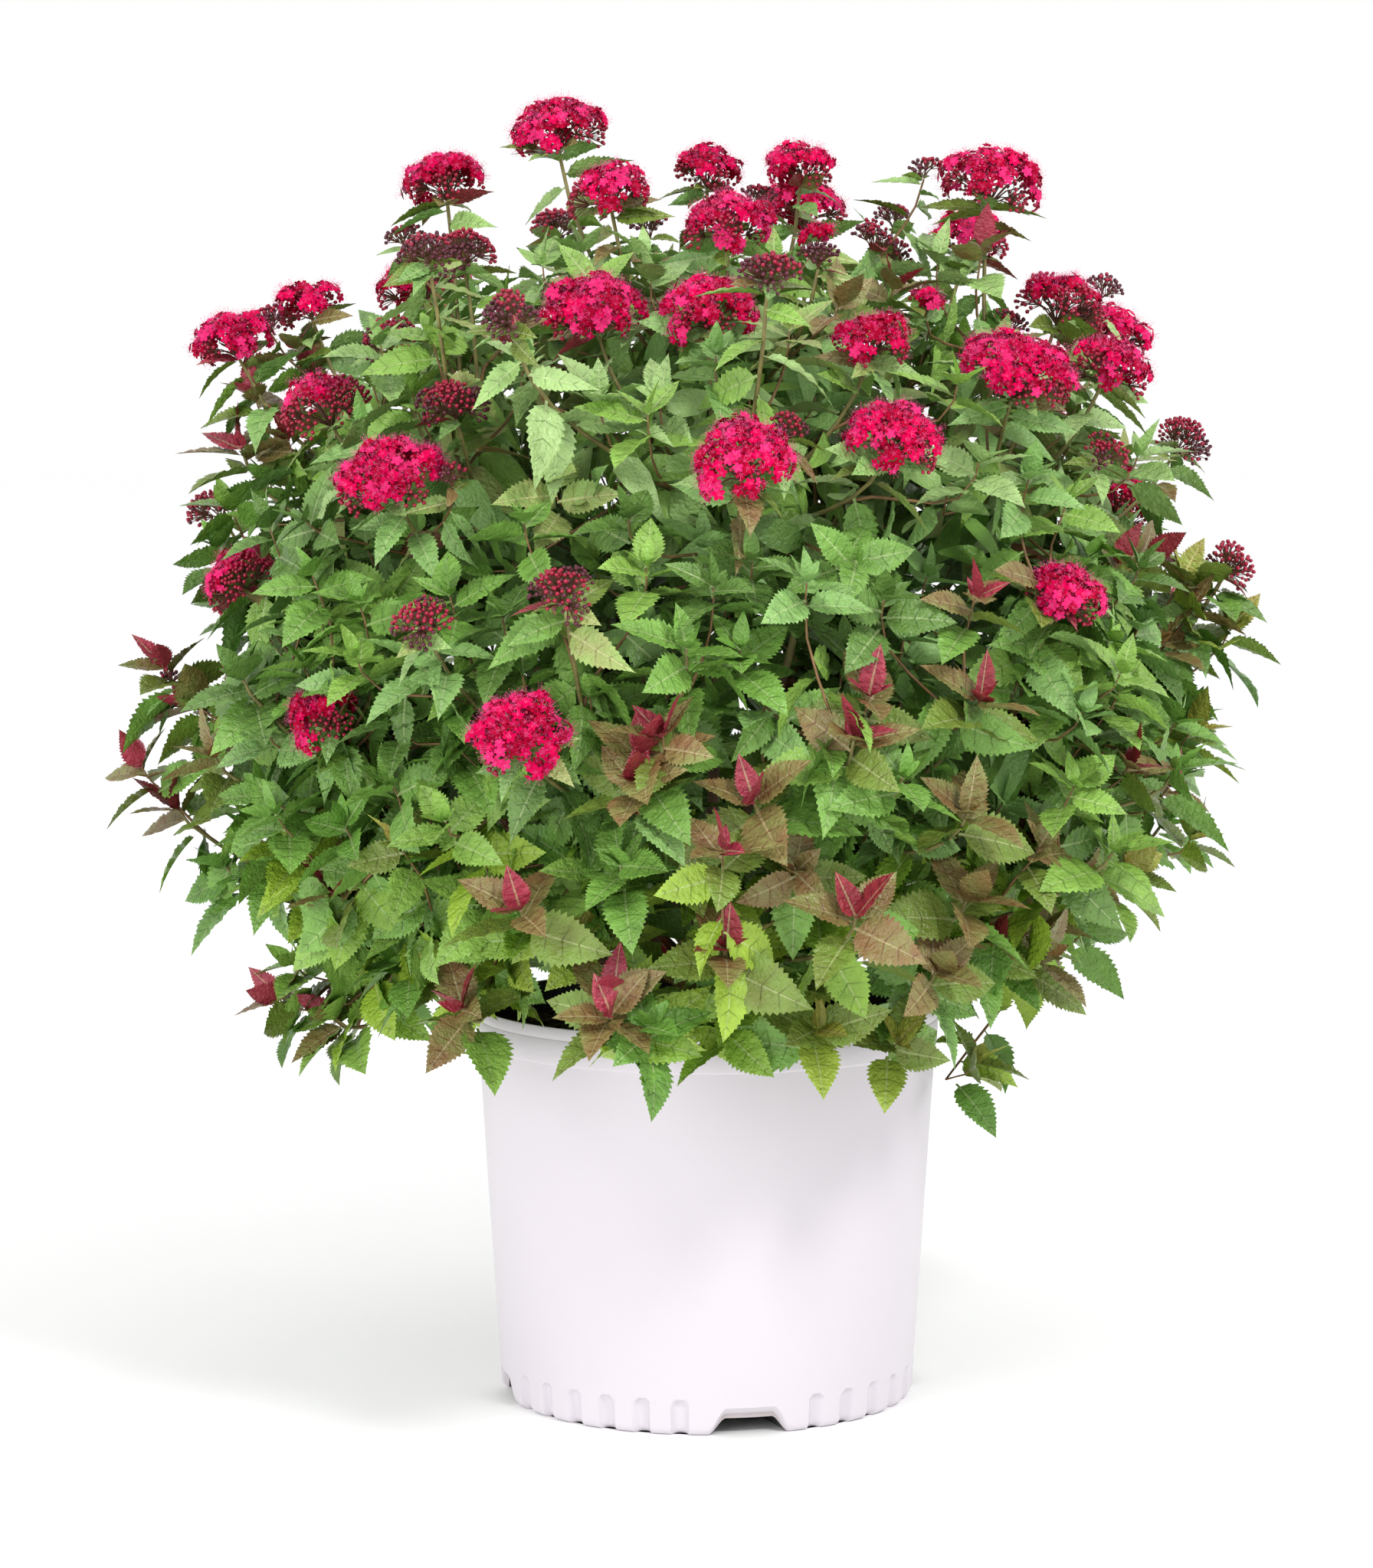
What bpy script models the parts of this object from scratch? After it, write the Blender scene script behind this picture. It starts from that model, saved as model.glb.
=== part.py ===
"""A flowering spirea in a white nursery pot, at its real size, in metres with +Z up.

The origin is the middle of the pot's flat underside, and the front of the plant is -Y. The canes
fan out from a short woody stool in the potting mix. Each cane is one bough, and each bough
carries one mass of leafy twigs, which keeps to its own wedge of the crown.
"""

import math
import random

import bmesh
import bpy
from mathutils import Matrix, Vector

# The pot: a squat three-gallon nursery pot, 11 inches across its rim
RIM_RADIUS = 0.1395
POT_HEIGHT = 0.237
FOOT_RADIUS = 0.1245
WALL = 0.002
FOOT_WALL = 0.004  # the wall is thicker where the channels bite into it
BAND_HEIGHT = 0.0215  # the band under the rim, which stands a little proud
BAND_STEP = 0.0008
LIP_HEIGHT = 0.007  # the thin lip at the top of the band
LIP_STEP = 0.0008
FLOOR = 0.0024
POT_STEPS = 48

# The four drain notches at the foot, and the channels between them
NOTCHES = 4
NOTCH_TURN = 11.5  # degrees from the front to the first notch's middle, towards +X
NOTCH_FOOT_WIDTH = 0.046
NOTCH_TOP_WIDTH = 0.032
NOTCH_HEIGHT = 0.0098
NOTCH_DEPTH = 0.040
DRAIN_WIDTH = 0.020
DRAIN_HEIGHT = 0.0044
CHANNELS = 6  # in each stretch between two notches
CHANNEL_PITCH = 10.4  # degrees
CHANNEL_WIDTH = 0.0095
CHANNEL_HEIGHT = 0.017
CHANNEL_BITE = 0.0015

# The potting mix, with a clearance all round it
MIX_TOP = 0.217
MIX_CLEARANCE = 0.0006
MIX_STEPS = POT_STEPS // 2  # its corners fall on the pot's corners
MIX_CROWN = 0.006  # how much higher the mix is at the trunk than at the wall

# The trunk, a short woody stool that the canes come from
CLEARANCE = 0.0003
TRUNK_RADIUS = 0.021
TRUNK_FLARE = 0.034
TRUNK_RISE = 0.022  # from the mix to the point that the canes spread from
TRUNK_STEPS = 24  # fine enough that every bough lies close to the dome
FOOT = Vector((0.0, 0.0, MIX_TOP + MIX_CROWN + CLEARANCE))
HEART = FOOT + Vector((0.0, 0.0, TRUNK_RISE))

# The crown's outline: a squarish dome, widest at its middle
CROWN_MIDDLE = 0.42
CROWN_REACH = 0.315
CROWN_RISE = 0.325
CROWN_DROP = 0.235
CROWN_SQUARENESS = 2.5

# Where the plant is seen from, level with the upper crown
EYE_DISTANCE = 2.52
EYE_HEIGHT = 0.602

# The flower heads in view: across and up, as seen against the plane through the pot's middle,
# and width, in millimetres, and how far forward: 1 is on the front of the crown, 0 at its middle
HEADS = (
    (-89, 757, 0.0, 55), (-156, 727, 0.0, 50), (-58, 722, 0.3, 47), (0, 733, -0.5, 42),
    (56, 735, -0.5, 42), (167, 727, 0.0, 60), (12, 702, 0.4, 53), (-146, 684, 0.4, 40),
    (66, 682, 0.5, 24), (98, 694, 0.0, 26), (211, 655, 0.0, 56), (-238, 655, -0.2, 40),
    (-283, 634, 0.2, 48), (-191, 634, 0.2, 32), (-71, 652, 0.6, 58), (0, 653, 0.6, 56),
    (98, 633, 0.65, 44), (169, 615, 0.65, 68), (239, 618, 0.4, 48), (-229, 594, 0.5, 54),
    (-153, 596, 0.6, 40), (-189, 547, 0.8, 62), (20, 563, 0.9, 56), (109, 577, 0.85, 52),
    (236, 566, 0.5, 27), (-281, 492, 0.35, 43), (-89, 484, 1.0, 33), (214, 484, 0.8, 43),
    (313, 499, 0.0, 31), (-231, 396, 0.8, 43), (-114, 399, 1.0, 52),
)  # fmt: skip

# The leafy tips in view, with their red, bronze or green young leaves, placed in the same way
TUFTS = (
    (-288, 590, 0.0), (286, 470, 0.2), (172, 436, 0.95), (92, 412, 1.0), (-243, 312, 0.75),
    (-123, 303, 1.0), (-248, 232, 0.5), (-165, 237, 0.9), (-63, 244, 1.05), (11, 277, 1.0),
    (95, 298, 1.05), (168, 308, 0.9), (72, 224, 1.0), (149, 262, 1.0), (222, 272, 0.75),
    (166, 365, 0.95), (272, 326, 0.3), (-337, 366, 0.1), (300, 405, 0.1), (-323, 429, 0.2),
    (-310, 330, 0.2), (25, 366, 1.0), (-15, 470, 1.0), (-40, 400, 1.0),
)  # fmt: skip

# The tips that fill the rest of the crown, spread evenly by the golden angle
EVEN_TIPS = 126
TIP_SPACING = 0.079
GOLDEN_TURN = math.pi * (3 - math.sqrt(5))
LOWEST_TIP = 0.30  # of the crown's drop that the evenly spread tips leave out
HEAD_WIDTHS = (0.056, 0.034, 0.048, 0.026, 0.052)  # dealt out in turn
HEADS_ABOVE = 0.46

# The masses, in tiers: name, rise above level, how many, turn of the first from the front
TIERS = (("low", 8, 9, 0), ("middle", 34, 8, 20), ("upper", 60, 5, 10), ("top", 88, 1, 0))
CORE_SPANS = {"low": (0.48, 0.73), "middle": (0.48, 0.72), "upper": (0.48, 0.67), "top": (0.48, 0.62)}
CORE_WIDTH = 0.8  # of its length, before it is cut down to fit
SETTLE_ROUNDS = 6
RIM_CLEAR_RISE = 14  # degrees, the least that a bough rises, to pass over the rim
EDGE_CLEARANCE = 0.0006

# The wood: radii at each end
BOUGH_BASE, BOUGH_TIP = 0.0036, 0.0026
BOUGH_BOW = 0.04  # how far a bough bows upward, of its length
STEM_BASE, STEM_TIP = 0.0025, 0.0020
STEM_RUN_IN = 0.006  # how far a stem carries on straight from its bough
TWIG_RADII = (0.0019, 0.0015, 0.0011)  # at its fork, its middle and its tip
BOUGH_SHARE = 0.44  # of the way from the heart to the tips, where a bough meets its mass
STEM_SHARE = 0.66  # where a mass's stem ends
BOUGH_PARTS = 3
FORKS = (0.35, 0.97)  # where shoots leave a mass's stem, as shares of its length
LEAN_AT_TOP, LEAN_AT_FOOT = 8, 74  # degrees from upright, of the shoots' tips

# The leaves, larger than life because they are fewer
LEAF_LENGTH = 0.060  # at a shoot's tip
LEAF_GROWTH = 0.5  # how much longer a leaf is for each unit that it stands back from the tip
LEAF_WIDTH = 0.46  # of its length
LEAF_WIDEST = 0.42
LEAF_THICK = 0.022
LEAF_FOLD = 0.07
LEAF_DROOP = 0.10
LEAF_TRIES = 8
LEAF_ROOM = 0.021  # the least between the spots on two leaves of one mass
TUFT_BACK = 0.032  # how far a leafy shoot's wood ends short of its place, for the leaf at its tip
TUFT_ROOM = 0.004  # round the end of that wood
LEAF_SINK = 0.001  # how far a leaf's root goes past the middle of its twig
TUFT_LEAVES = (0.0, 0.014, 0.033, 0.058, 0.088)  # from the tip back along the twig
HEAD_LEAVES = (0.028, 0.052, 0.084)
BUD_LEAVES = (0.022, 0.046)  # under the small heads
SMALL_HEAD = 0.03
END_SPREAD, SIDE_SPREAD = 22, 66  # degrees from the twig, of the leaf at its tip and the others
HEAD_DOME = 0.38  # a head's height above its widest, of its width
HEAD_SAG = 0.14  # and below

SEED = 11


def clear_scene():
    for obj in list(bpy.data.objects):
        bpy.data.objects.remove(obj)


def material(name, colour, roughness):
    made = bpy.data.materials.new(name)
    made.use_nodes = True
    shader = made.node_tree.nodes["Principled BSDF"]
    shader.inputs["Base Color"].default_value = (*colour, 1.0)
    shader.inputs["Roughness"].default_value = roughness
    shader.inputs["Metallic"].default_value = 0.0
    return made


def link(name, data, parts, finish=None):
    made = bpy.data.objects.new(name, data)
    if parts.hide_render:
        made.hide_render = True
        made.display_type = "WIRE"
    if finish is not None:
        data.materials.append(finish)
    parts.objects.link(made)
    return made


def shade_round(obj):
    obj.data.shade_smooth()
    obj.data.set_sharp_from_angle(angle=math.radians(35))


def evaluated_mesh(obj):
    """The object's mesh with its modifiers applied."""
    bpy.context.view_layer.update()
    graph = bpy.context.evaluated_depsgraph_get()
    return bpy.data.meshes.new_from_object(obj.evaluated_get(graph))


def welded_tube(curve):
    """A curve's tube as a mesh, with its caps welded on."""
    mesh = evaluated_mesh(curve)
    work = bmesh.new()
    work.from_mesh(mesh)
    bmesh.ops.remove_doubles(work, verts=work.verts, dist=1e-6)
    bmesh.ops.recalc_face_normals(work, faces=work.faces)
    work.to_mesh(mesh)
    work.free()
    return mesh


def apply_modifiers(obj):
    mesh = evaluated_mesh(obj)
    obj.modifiers.clear()
    obj.data = mesh


def turned(name, profile, steps, parts, finish):
    """A solid of revolution. The profile's (radius, height) pairs run down the outer side."""
    mesh = bpy.data.meshes.new(name)
    edges = [(i, i + 1) for i in range(len(profile) - 1)]
    mesh.from_pydata([(r, 0.0, z) for r, z in profile], edges, [])
    made = link(name, mesh, parts, finish)
    screw = made.modifiers.new("Turn", "SCREW")
    screw.steps = screw.render_steps = steps
    screw.use_merge_vertices = True
    screw.merge_threshold = 1e-5
    screw.use_smooth_shade = False
    apply_modifiers(made)
    return made


def boolean(obj, collection, operation, solver="EXACT"):
    cut = obj.modifiers.new(operation.title(), "BOOLEAN")
    cut.operation = operation
    cut.operand_type = "COLLECTION"
    cut.collection = collection
    cut.solver = solver
    apply_modifiers(obj)
    for used in list(collection.objects):
        bpy.data.objects.remove(used)
    bpy.data.collections.remove(collection)


def helper_collection(name):
    """A collection of cutters or guides, which is left out of renders."""
    made = bpy.data.collections.new(name)
    made.hide_render = True
    bpy.context.scene.collection.children.link(made)
    return made


def at_turn(degrees, radius, height=0.0):
    """A point at a turn from the front towards +X, about the pot's axis."""
    turn = math.radians(degrees)
    return Vector((radius * math.sin(turn), -radius * math.cos(turn), height))


def wall_radius(height):
    """The pot's outer radius under its band."""
    return FOOT_RADIUS + (RIM_RADIUS - FOOT_RADIUS) * height / POT_HEIGHT


def block(name, sections, turn, reach, collection):
    """A bar across a radius: its (half width, height) corners, from reach[0] out to reach[1]."""
    work = bmesh.new()
    bmesh.ops.create_cube(work, size=1.0)
    for vert in work.verts:
        half, height = sections[1] if vert.co.z > 0 else sections[0]
        out = reach[1] if vert.co.y < 0 else reach[0]
        vert.co = Vector((math.copysign(half, vert.co.x), -out, height))
    mesh = bpy.data.meshes.new(name)
    work.to_mesh(mesh)
    work.free()
    made = link(name, mesh, collection)
    made.matrix_world = Matrix.Rotation(math.radians(turn), 4, "Z")
    return made


def notch_sections(grow=0.0, foot=0.0):
    return (
        (NOTCH_FOOT_WIDTH / 2 + grow, foot),
        (NOTCH_TOP_WIDTH / 2 + grow, NOTCH_HEIGHT + grow),
    )


def notch_turns():
    return [NOTCH_TURN + 360 / NOTCHES * k for k in range(NOTCHES)]


def channel_turns():
    middle = 180 / NOTCHES
    offsets = [CHANNEL_PITCH * (k - (CHANNELS - 1) / 2) for k in range(CHANNELS)]
    return [turn + middle + offset for turn in notch_turns() for offset in offsets]


def pot_profile():
    band_foot = POT_HEIGHT - BAND_HEIGHT
    lip_foot = POT_HEIGHT - LIP_HEIGHT
    band = BAND_STEP
    foot_top = CHANNEL_HEIGHT + 0.004
    return (
        (RIM_RADIUS - WALL - LIP_STEP, POT_HEIGHT),
        (RIM_RADIUS, POT_HEIGHT),
        (RIM_RADIUS, lip_foot),
        (wall_radius(lip_foot) + band, lip_foot),
        (wall_radius(band_foot) + band, band_foot),
        (wall_radius(band_foot), band_foot),
        (FOOT_RADIUS, 0.001),
        (FOOT_RADIUS - 0.001, 0.0),
        (0.0, 0.0),
        (0.0, FLOOR),
        (FOOT_RADIUS - FOOT_WALL, FLOOR),
        (wall_radius(foot_top) - FOOT_WALL, foot_top - 0.004),
        (wall_radius(foot_top) - WALL, foot_top),
        (wall_radius(band_foot) - WALL, band_foot),
        (RIM_RADIUS - WALL - LIP_STEP, POT_HEIGHT),
    )


def channel_cutter(turn, cutters):
    """A tall egg that bites an arched channel into the foot of the wall's outer face."""
    work = bmesh.new()
    bmesh.ops.create_uvsphere(work, u_segments=8, v_segments=4, radius=1.0)
    mesh = bpy.data.meshes.new("channel")
    work.to_mesh(mesh)
    work.free()
    depth = CHANNEL_WIDTH / 2
    place = at_turn(turn, FOOT_RADIUS + depth - CHANNEL_BITE)
    size = Matrix.Diagonal((CHANNEL_WIDTH * 0.72, depth, CHANNEL_HEIGHT * 1.15, 1.0))
    made = link("channel", mesh, cutters)
    made.matrix_world = Matrix.Translation(place) @ Matrix.Rotation(math.radians(turn), 4, "Z") @ size


def make_pot(parts, finish):
    pot = turned("pot", pot_profile(), POT_STEPS, parts, finish)
    inner, outer = FOOT_RADIUS - NOTCH_DEPTH, FOOT_RADIUS + 0.004
    boxes = helper_collection("drain boxes")
    for turn in notch_turns():
        grown = notch_sections(grow=WALL, foot=FLOOR * 0.5)
        block("drain box", grown, turn, (inner - WALL, FOOT_RADIUS - WALL), boxes)
    boolean(pot, boxes, "UNION")
    cutters = helper_collection("pot cutters")
    drain = ((DRAIN_WIDTH / 2, NOTCH_HEIGHT - DRAIN_HEIGHT),)
    drain += ((DRAIN_WIDTH / 2 - 0.002, NOTCH_HEIGHT + 3 * WALL),)
    for turn in notch_turns():
        block("notch", notch_sections(foot=-0.001), turn, (inner, outer), cutters)
        block("drain", drain, turn, (inner + 0.012, inner + 0.026), cutters)
    for turn in channel_turns():
        channel_cutter(turn, cutters)
    boolean(pot, cutters, "DIFFERENCE")
    shade_round(pot)


def make_mix(parts, finish):
    """The potting mix fills the pot, clear of the walls and over the drain boxes."""
    low = NOTCH_HEIGHT + WALL + MIX_CLEARANCE
    shrink = WALL + MIX_CLEARANCE
    foot_top = CHANNEL_HEIGHT + 0.004
    shoulder = TRUNK_FLARE + 0.012
    profile = (
        (0.0, MIX_TOP + MIX_CROWN),
        (shoulder, MIX_TOP + MIX_CROWN),
        (RIM_RADIUS * 0.62, MIX_TOP + MIX_CROWN * 0.3),
        (wall_radius(MIX_TOP) - shrink, MIX_TOP),
        (wall_radius(foot_top) - shrink, foot_top + 0.001),
        (FOOT_RADIUS - FOOT_WALL - 2 * MIX_CLEARANCE, low),
        (0.0, low),
    )
    mix = turned("potting_mix", profile, MIX_STEPS, parts, finish)
    shade_round(mix)


def make_trunk(parts, finish):
    """The short stool: its flat cut lies on the mix, and its domed top is round the heart."""
    rise = HEART.z
    cap = [
        (TRUNK_RADIUS * math.sin(angle), rise + TRUNK_RADIUS * math.cos(angle))
        for angle in [math.radians(degrees) for degrees in range(0, 106, 15)]
    ]
    flare = [(TRUNK_FLARE * 0.78, FOOT.z + 0.007), (TRUNK_FLARE, FOOT.z), (0.0, FOOT.z)]
    trunk = turned("trunk", cap + flare, TRUNK_STEPS, parts, finish)
    shade_round(trunk)


def crown_radius(height):
    """How far the crown reaches from its axis at a height."""
    rise = height - CROWN_MIDDLE
    share = abs(rise) / (CROWN_RISE if rise > 0 else CROWN_DROP)
    left = max(0.0, 1.0 - share**CROWN_SQUARENESS)
    return CROWN_REACH * left ** (1 / CROWN_SQUARENESS)


def in_view(across, up, forward):
    """The place that shows at across and up, in millimetres, that far forward in the crown."""
    y = 0.0
    for _ in range(5):
        nearer = 1 + y / EYE_DISTANCE
        x = across / 1000 * nearer
        z = EYE_HEIGHT + (up / 1000 - EYE_HEIGHT) * nearer
        y = -forward * math.sqrt(max(0.0, crown_radius(z) ** 2 - x * x))
    return Vector((x, y, z))


def on_dome(share, turn):
    """The place on the crown's dome at a share of the way from its top to its lowest tips."""
    level = 1 - share * (2 - LOWEST_TIP)
    flat = math.sqrt(max(0.0, 1 - level * level))
    rise = CROWN_RISE if level > 0 else CROWN_DROP
    power = CROWN_SQUARENESS
    scale = (flat**power + abs(level) ** power) ** (-1 / power)
    out = CROWN_REACH * flat * scale
    return Vector((out * math.sin(turn), -out * math.cos(turn), CROWN_MIDDLE + rise * level * scale))


def shoot_tips():
    """Every shoot's tip as (place, width of its flower head, or 0 for a leafy tip)."""
    tips = [(in_view(a, up, forward), width / 1000) for a, up, forward, width in HEADS]
    tips += [(in_view(*row), 0.0) for row in TUFTS]
    dealt = 0
    for k in range(EVEN_TIPS):
        place = on_dome((k + 0.5) / EVEN_TIPS, k * GOLDEN_TURN)
        if min((place - other).length for other, _ in tips) < TIP_SPACING:
            continue
        width = 0.0
        if place.z > HEADS_ABOVE and dealt % 4 != 3:
            width = HEAD_WIDTHS[dealt % len(HEAD_WIDTHS)]
        dealt += 1
        tips.append((place, width))
    return tips


def toward(rise, turn):
    rise, turn = math.radians(rise), math.radians(turn)
    flat = math.cos(rise)
    return Vector((flat * math.sin(turn), -flat * math.cos(turn), math.sin(rise)))


def mass_ways(tips):
    """Each mass's name and its way from the heart, settled to the middle of its own tips."""
    names, ways = [], []
    for name, rise, count, first in TIERS:
        for k in range(count):
            names.append(f"{name}_{k + 1}" if count > 1 else name)
            ways.append(toward(rise, first + 360 / count * k))
    for _ in range(SETTLE_ROUNDS):
        sums = [way * 0.001 for way in ways]
        for place, _ in tips:
            way = (place - HEART).normalized()
            sums[nearest(way, ways)] += way
        ways = [total.normalized() for total in sums]
    return names, ways


def nearest(way, ways):
    return max(range(len(ways)), key=lambda k: way.dot(ways[k]))


class Wedge:
    """The part of the crown that one mass keeps to, whose way from the heart is the nearest."""

    def __init__(self, own, ways):
        self.way = ways[own]
        self.walls = [
            (ways[own] - other).normalized() for k, other in enumerate(ways) if k != own
        ]

    def room(self, place):
        """How far a place is inside the wedge's nearest wall."""
        return min((place - HEART).dot(wall) for wall in self.walls)

    def pull_in(self, place, radius):
        """The place moved to where a ball of that radius fits in the wedge."""
        for _ in range(40):
            short = radius + EDGE_CLEARANCE - self.room(place)
            if short <= 0:
                break
            wall = min(self.walls, key=lambda w: (place - HEART).dot(w))
            place = place + wall * (short + 1e-4)
        return place


def bezier(points, share):
    a, b, c, d = points
    left = 1 - share
    return a * left**3 + b * 3 * left**2 * share + c * 3 * left * share**2 + d * share**3


def bezier_way(points, share):
    step = 0.01
    ahead, behind = min(1.0, share + step), max(0.0, share - step)
    return (bezier(points, ahead) - bezier(points, behind)).normalized()


def tip_way(place):
    """The way that a shoot points at its tip: upright on top, leaning out lower down."""
    out = Vector((place.x, place.y, 0.0))
    high = (place.z - MIX_TOP) / (CROWN_MIDDLE + CROWN_RISE - MIX_TOP)
    lean = LEAN_AT_FOOT + (LEAN_AT_TOP - LEAN_AT_FOOT) * min(1.0, max(0.0, high)) ** 0.8
    lean = math.radians(lean * min(1.0, out.length / (0.6 * CROWN_REACH)))
    return Vector((0, 0, math.cos(lean))) + out.normalized() * math.sin(lean)


def clear_of_pot(place, margin):
    """Whether a place is over the rim or outside the pot."""
    flat = math.hypot(place.x, place.y)
    if place.z > POT_HEIGHT + margin:
        return True
    return flat > RIM_RADIUS + margin


def gap_to_line(place, start, end):
    run = end - start
    share = min(1.0, max(0.0, (place - start).dot(run) / run.length_squared))
    return (place - start - run * share).length


def clear_of_bough(place, bough, margin):
    """Whether a place keeps that margin to a bough, given as the points along its middle."""
    return all(
        gap_to_line(place, start, end) > BOUGH_BASE + margin
        for start, end in zip(bough, bough[1:])
    )


def tube(name, points, radii, collection, finish=None, section=None):
    """A tapering limb along its points, round or with the section of another curve."""
    data = bpy.data.curves.new(name, "CURVE")
    data.dimensions = "3D"
    data.use_fill_caps = True
    if section is None:
        data.bevel_depth = 1.0
        data.bevel_resolution = 1
    else:
        data.bevel_mode = "OBJECT"
        data.bevel_object = section
    spline = data.splines.new("POLY")
    spline.points.add(len(points) - 1)
    for point, place, radius in zip(spline.points, points, radii):
        point.co = (*place, 1.0)
        point.radius = radius
    return link(name, data, collection, finish)


def three_sided(collection):
    """The outline that twigs are drawn along: a triangle of unit radius."""
    data = bpy.data.curves.new("three sided", "CURVE")
    data.dimensions = "2D"
    spline = data.splines.new("POLY")
    spline.points.add(2)
    for k, point in enumerate(spline.points):
        turn = 2 * math.pi * k / 3
        point.co = (math.cos(turn), math.sin(turn), 0.0, 1.0)
    spline.use_cyclic_u = True
    return link("three sided", data, collection)


def ball(name, around, up):
    """A faceted ball, one unit across."""
    work = bmesh.new()
    bmesh.ops.create_uvsphere(work, u_segments=around, v_segments=up, radius=0.5)
    mesh = bpy.data.meshes.new(name)
    work.to_mesh(mesh)
    work.free()
    return mesh


def leaf_template():
    """A leaf of eight faces, one unit long, from its root at the origin to its tip."""
    mesh = ball("leaf", 4, 2)
    for vert in mesh.vertices:
        x, y, z = (round(2 * value) for value in vert.co)
        along = {-1: 0.0, 0: LEAF_WIDEST, 1: 1.0}[x]
        rise = {-1: 0.0, 0: LEAF_FOLD * abs(y), 1: -LEAF_DROOP}[x]
        vert.co = (along, y * LEAF_WIDTH / 2, rise + z * LEAF_THICK / 2)
    return mesh


def head_template():
    """A flower head one unit across: a low dome with a shallow underside, about its middle."""
    mesh = ball("head", 6, 3)
    for vert in mesh.vertices:
        vert.co.z *= 2 * (HEAD_DOME if vert.co.z > 0 else HEAD_SAG)
        vert.co.z -= (HEAD_DOME - HEAD_SAG) / 2
    return mesh


def leaf_matrix(root, way, face, length):
    """Places the leaf template with its root at a point, along way, its top towards face."""
    way = way.normalized()
    side = face.cross(way).normalized()
    up = way.cross(side)
    turn = Matrix((way, side, up)).transposed().to_4x4()
    return Matrix.Translation(root) @ turn @ Matrix.Scale(length, 4)


def sample_leaf(matrix):
    """Points round a leaf's outline, which have to keep clear of what is not its own mass."""
    corners = [
        Vector((0.08, 0.0, 0.0)),
        Vector((LEAF_WIDEST, LEAF_WIDTH / 2, LEAF_FOLD)),
        Vector((1.0, 0.0, -LEAF_DROOP)),
        Vector((LEAF_WIDEST, -LEAF_WIDTH / 2, LEAF_FOLD)),
    ]
    thick = Vector((LEAF_WIDEST, 0.0, LEAF_THICK))
    found = [thick, -thick + Vector((2 * LEAF_WIDEST, 0.0, 0.0))]
    for start, end in zip(corners, corners[1:] + corners[:1]):
        found += [start.lerp(end, share) for share in (0.0, 0.33, 0.66)]
    return [matrix @ point for point in found]


def leaf_places(width):
    """Where the leaves of a shoot stand, measured back from its tip."""
    if width == 0.0:
        return TUFT_LEAVES
    return BUD_LEAVES if width < SMALL_HEAD else HEAD_LEAVES


def grow_leaves(curve, width, wedge, bough, grown, rng):
    """The leaves along one shoot. Each takes the turn with the most room that fits, or is skipped."""
    run = (curve[-1] - curve[0]).length
    turn = rng.uniform(0, 2 * math.pi)
    for back in leaf_places(width):
        share = 1 - back / run
        if share < 0.15:
            continue
        root = bezier(curve, share)
        stem = bezier_way(curve, share)
        side = stem.orthogonal().normalized()
        length = (LEAF_LENGTH + back * LEAF_GROWTH) * rng.uniform(0.9, 1.1)
        spread = math.radians(END_SPREAD if back == 0.0 else SIDE_SPREAD)
        best, most = None, LEAF_ROOM
        for _ in range(LEAF_TRIES):
            turn += GOLDEN_TURN
            out = Matrix.Rotation(turn, 3, stem) @ side
            way = stem * math.cos(spread) + out * math.sin(spread)
            matrix = leaf_matrix(root - way * LEAF_SINK, way, stem, length)
            spots = leaf_spots(matrix)
            room = min([(spot - other).length for spot in spots for other in grown], default=1.0)
            if room > most and leaf_fits(matrix, wedge, bough):
                best, most = matrix, room
        if best is not None:
            grown += leaf_spots(best)
            yield best


def leaf_spots(matrix):
    """Three places along a leaf, which the next leaves keep away from."""
    return [matrix @ Vector((along, 0.0, 0.0)) for along in (0.35, 0.65, 0.95)]


def leaf_fits(matrix, wedge, bough):
    return all(
        wedge.room(point) > EDGE_CLEARANCE
        and clear_of_pot(point, 0.003)
        and clear_of_bough(point, bough, 0.0015)
        for point in sample_leaf(matrix)
    )


def core_matrix(name, way, reach, wedge, shape):
    """Places a mass's core on its stem, as wide as its wedge and the pot leave room for."""
    near, far = CORE_SPANS[name.split("_")[0]]
    middle = HEART + way * reach * (near + far) / 2
    length = reach * (far - near)
    turn = way.to_track_quat("Z", "Y").to_matrix().to_4x4()
    width = length * CORE_WIDTH
    while True:
        matrix = Matrix.Translation(middle) @ turn @ Matrix.Diagonal((width, width, length, 1.0))
        corners = [matrix @ vert.co for vert in shape.vertices]
        if all(wedge.room(c) > EDGE_CLEARANCE and clear_of_pot(c, 0.004) for c in corners):
            return matrix
        width *= 0.96


def shoot_curve(fork, stem_way, place, wedge):
    """A shoot's curve from its fork, which falls back on a straight one if it would leave."""
    run = (place - fork).length
    bent = (fork, fork + stem_way * run * 0.38, place - tip_way(place) * run * 0.42, place)
    straight = (fork, fork.lerp(place, 0.33), fork.lerp(place, 0.67), place)
    inside = all(
        wedge.room(bezier(bent, share)) > 0.003 and clear_of_pot(bezier(bent, share), 0.004)
        for share in (0.2, 0.35, 0.5, 0.65, 0.8, 0.9)
    )
    return bent if inside else straight


def keep_outer_shell(obj):
    """Drops the loose scraps and the sealed hollows that joining leaves."""
    work = bmesh.new()
    work.from_mesh(obj.data)
    left, shells = set(work.verts), []
    while left:
        shell, edge = set(), [left.pop()]
        while edge:
            vert = edge.pop()
            shell.add(vert)
            for line in vert.link_edges:
                other = line.other_vert(vert)
                if other in left:
                    left.discard(other)
                    edge.append(other)
        shells.append(shell)
    shells.sort(key=len)
    scraps = [vert for shell in shells[:-1] for vert in shell]
    bmesh.ops.delete(work, geom=scraps, context="VERTS")
    work.to_mesh(obj.data)
    work.free()


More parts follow.
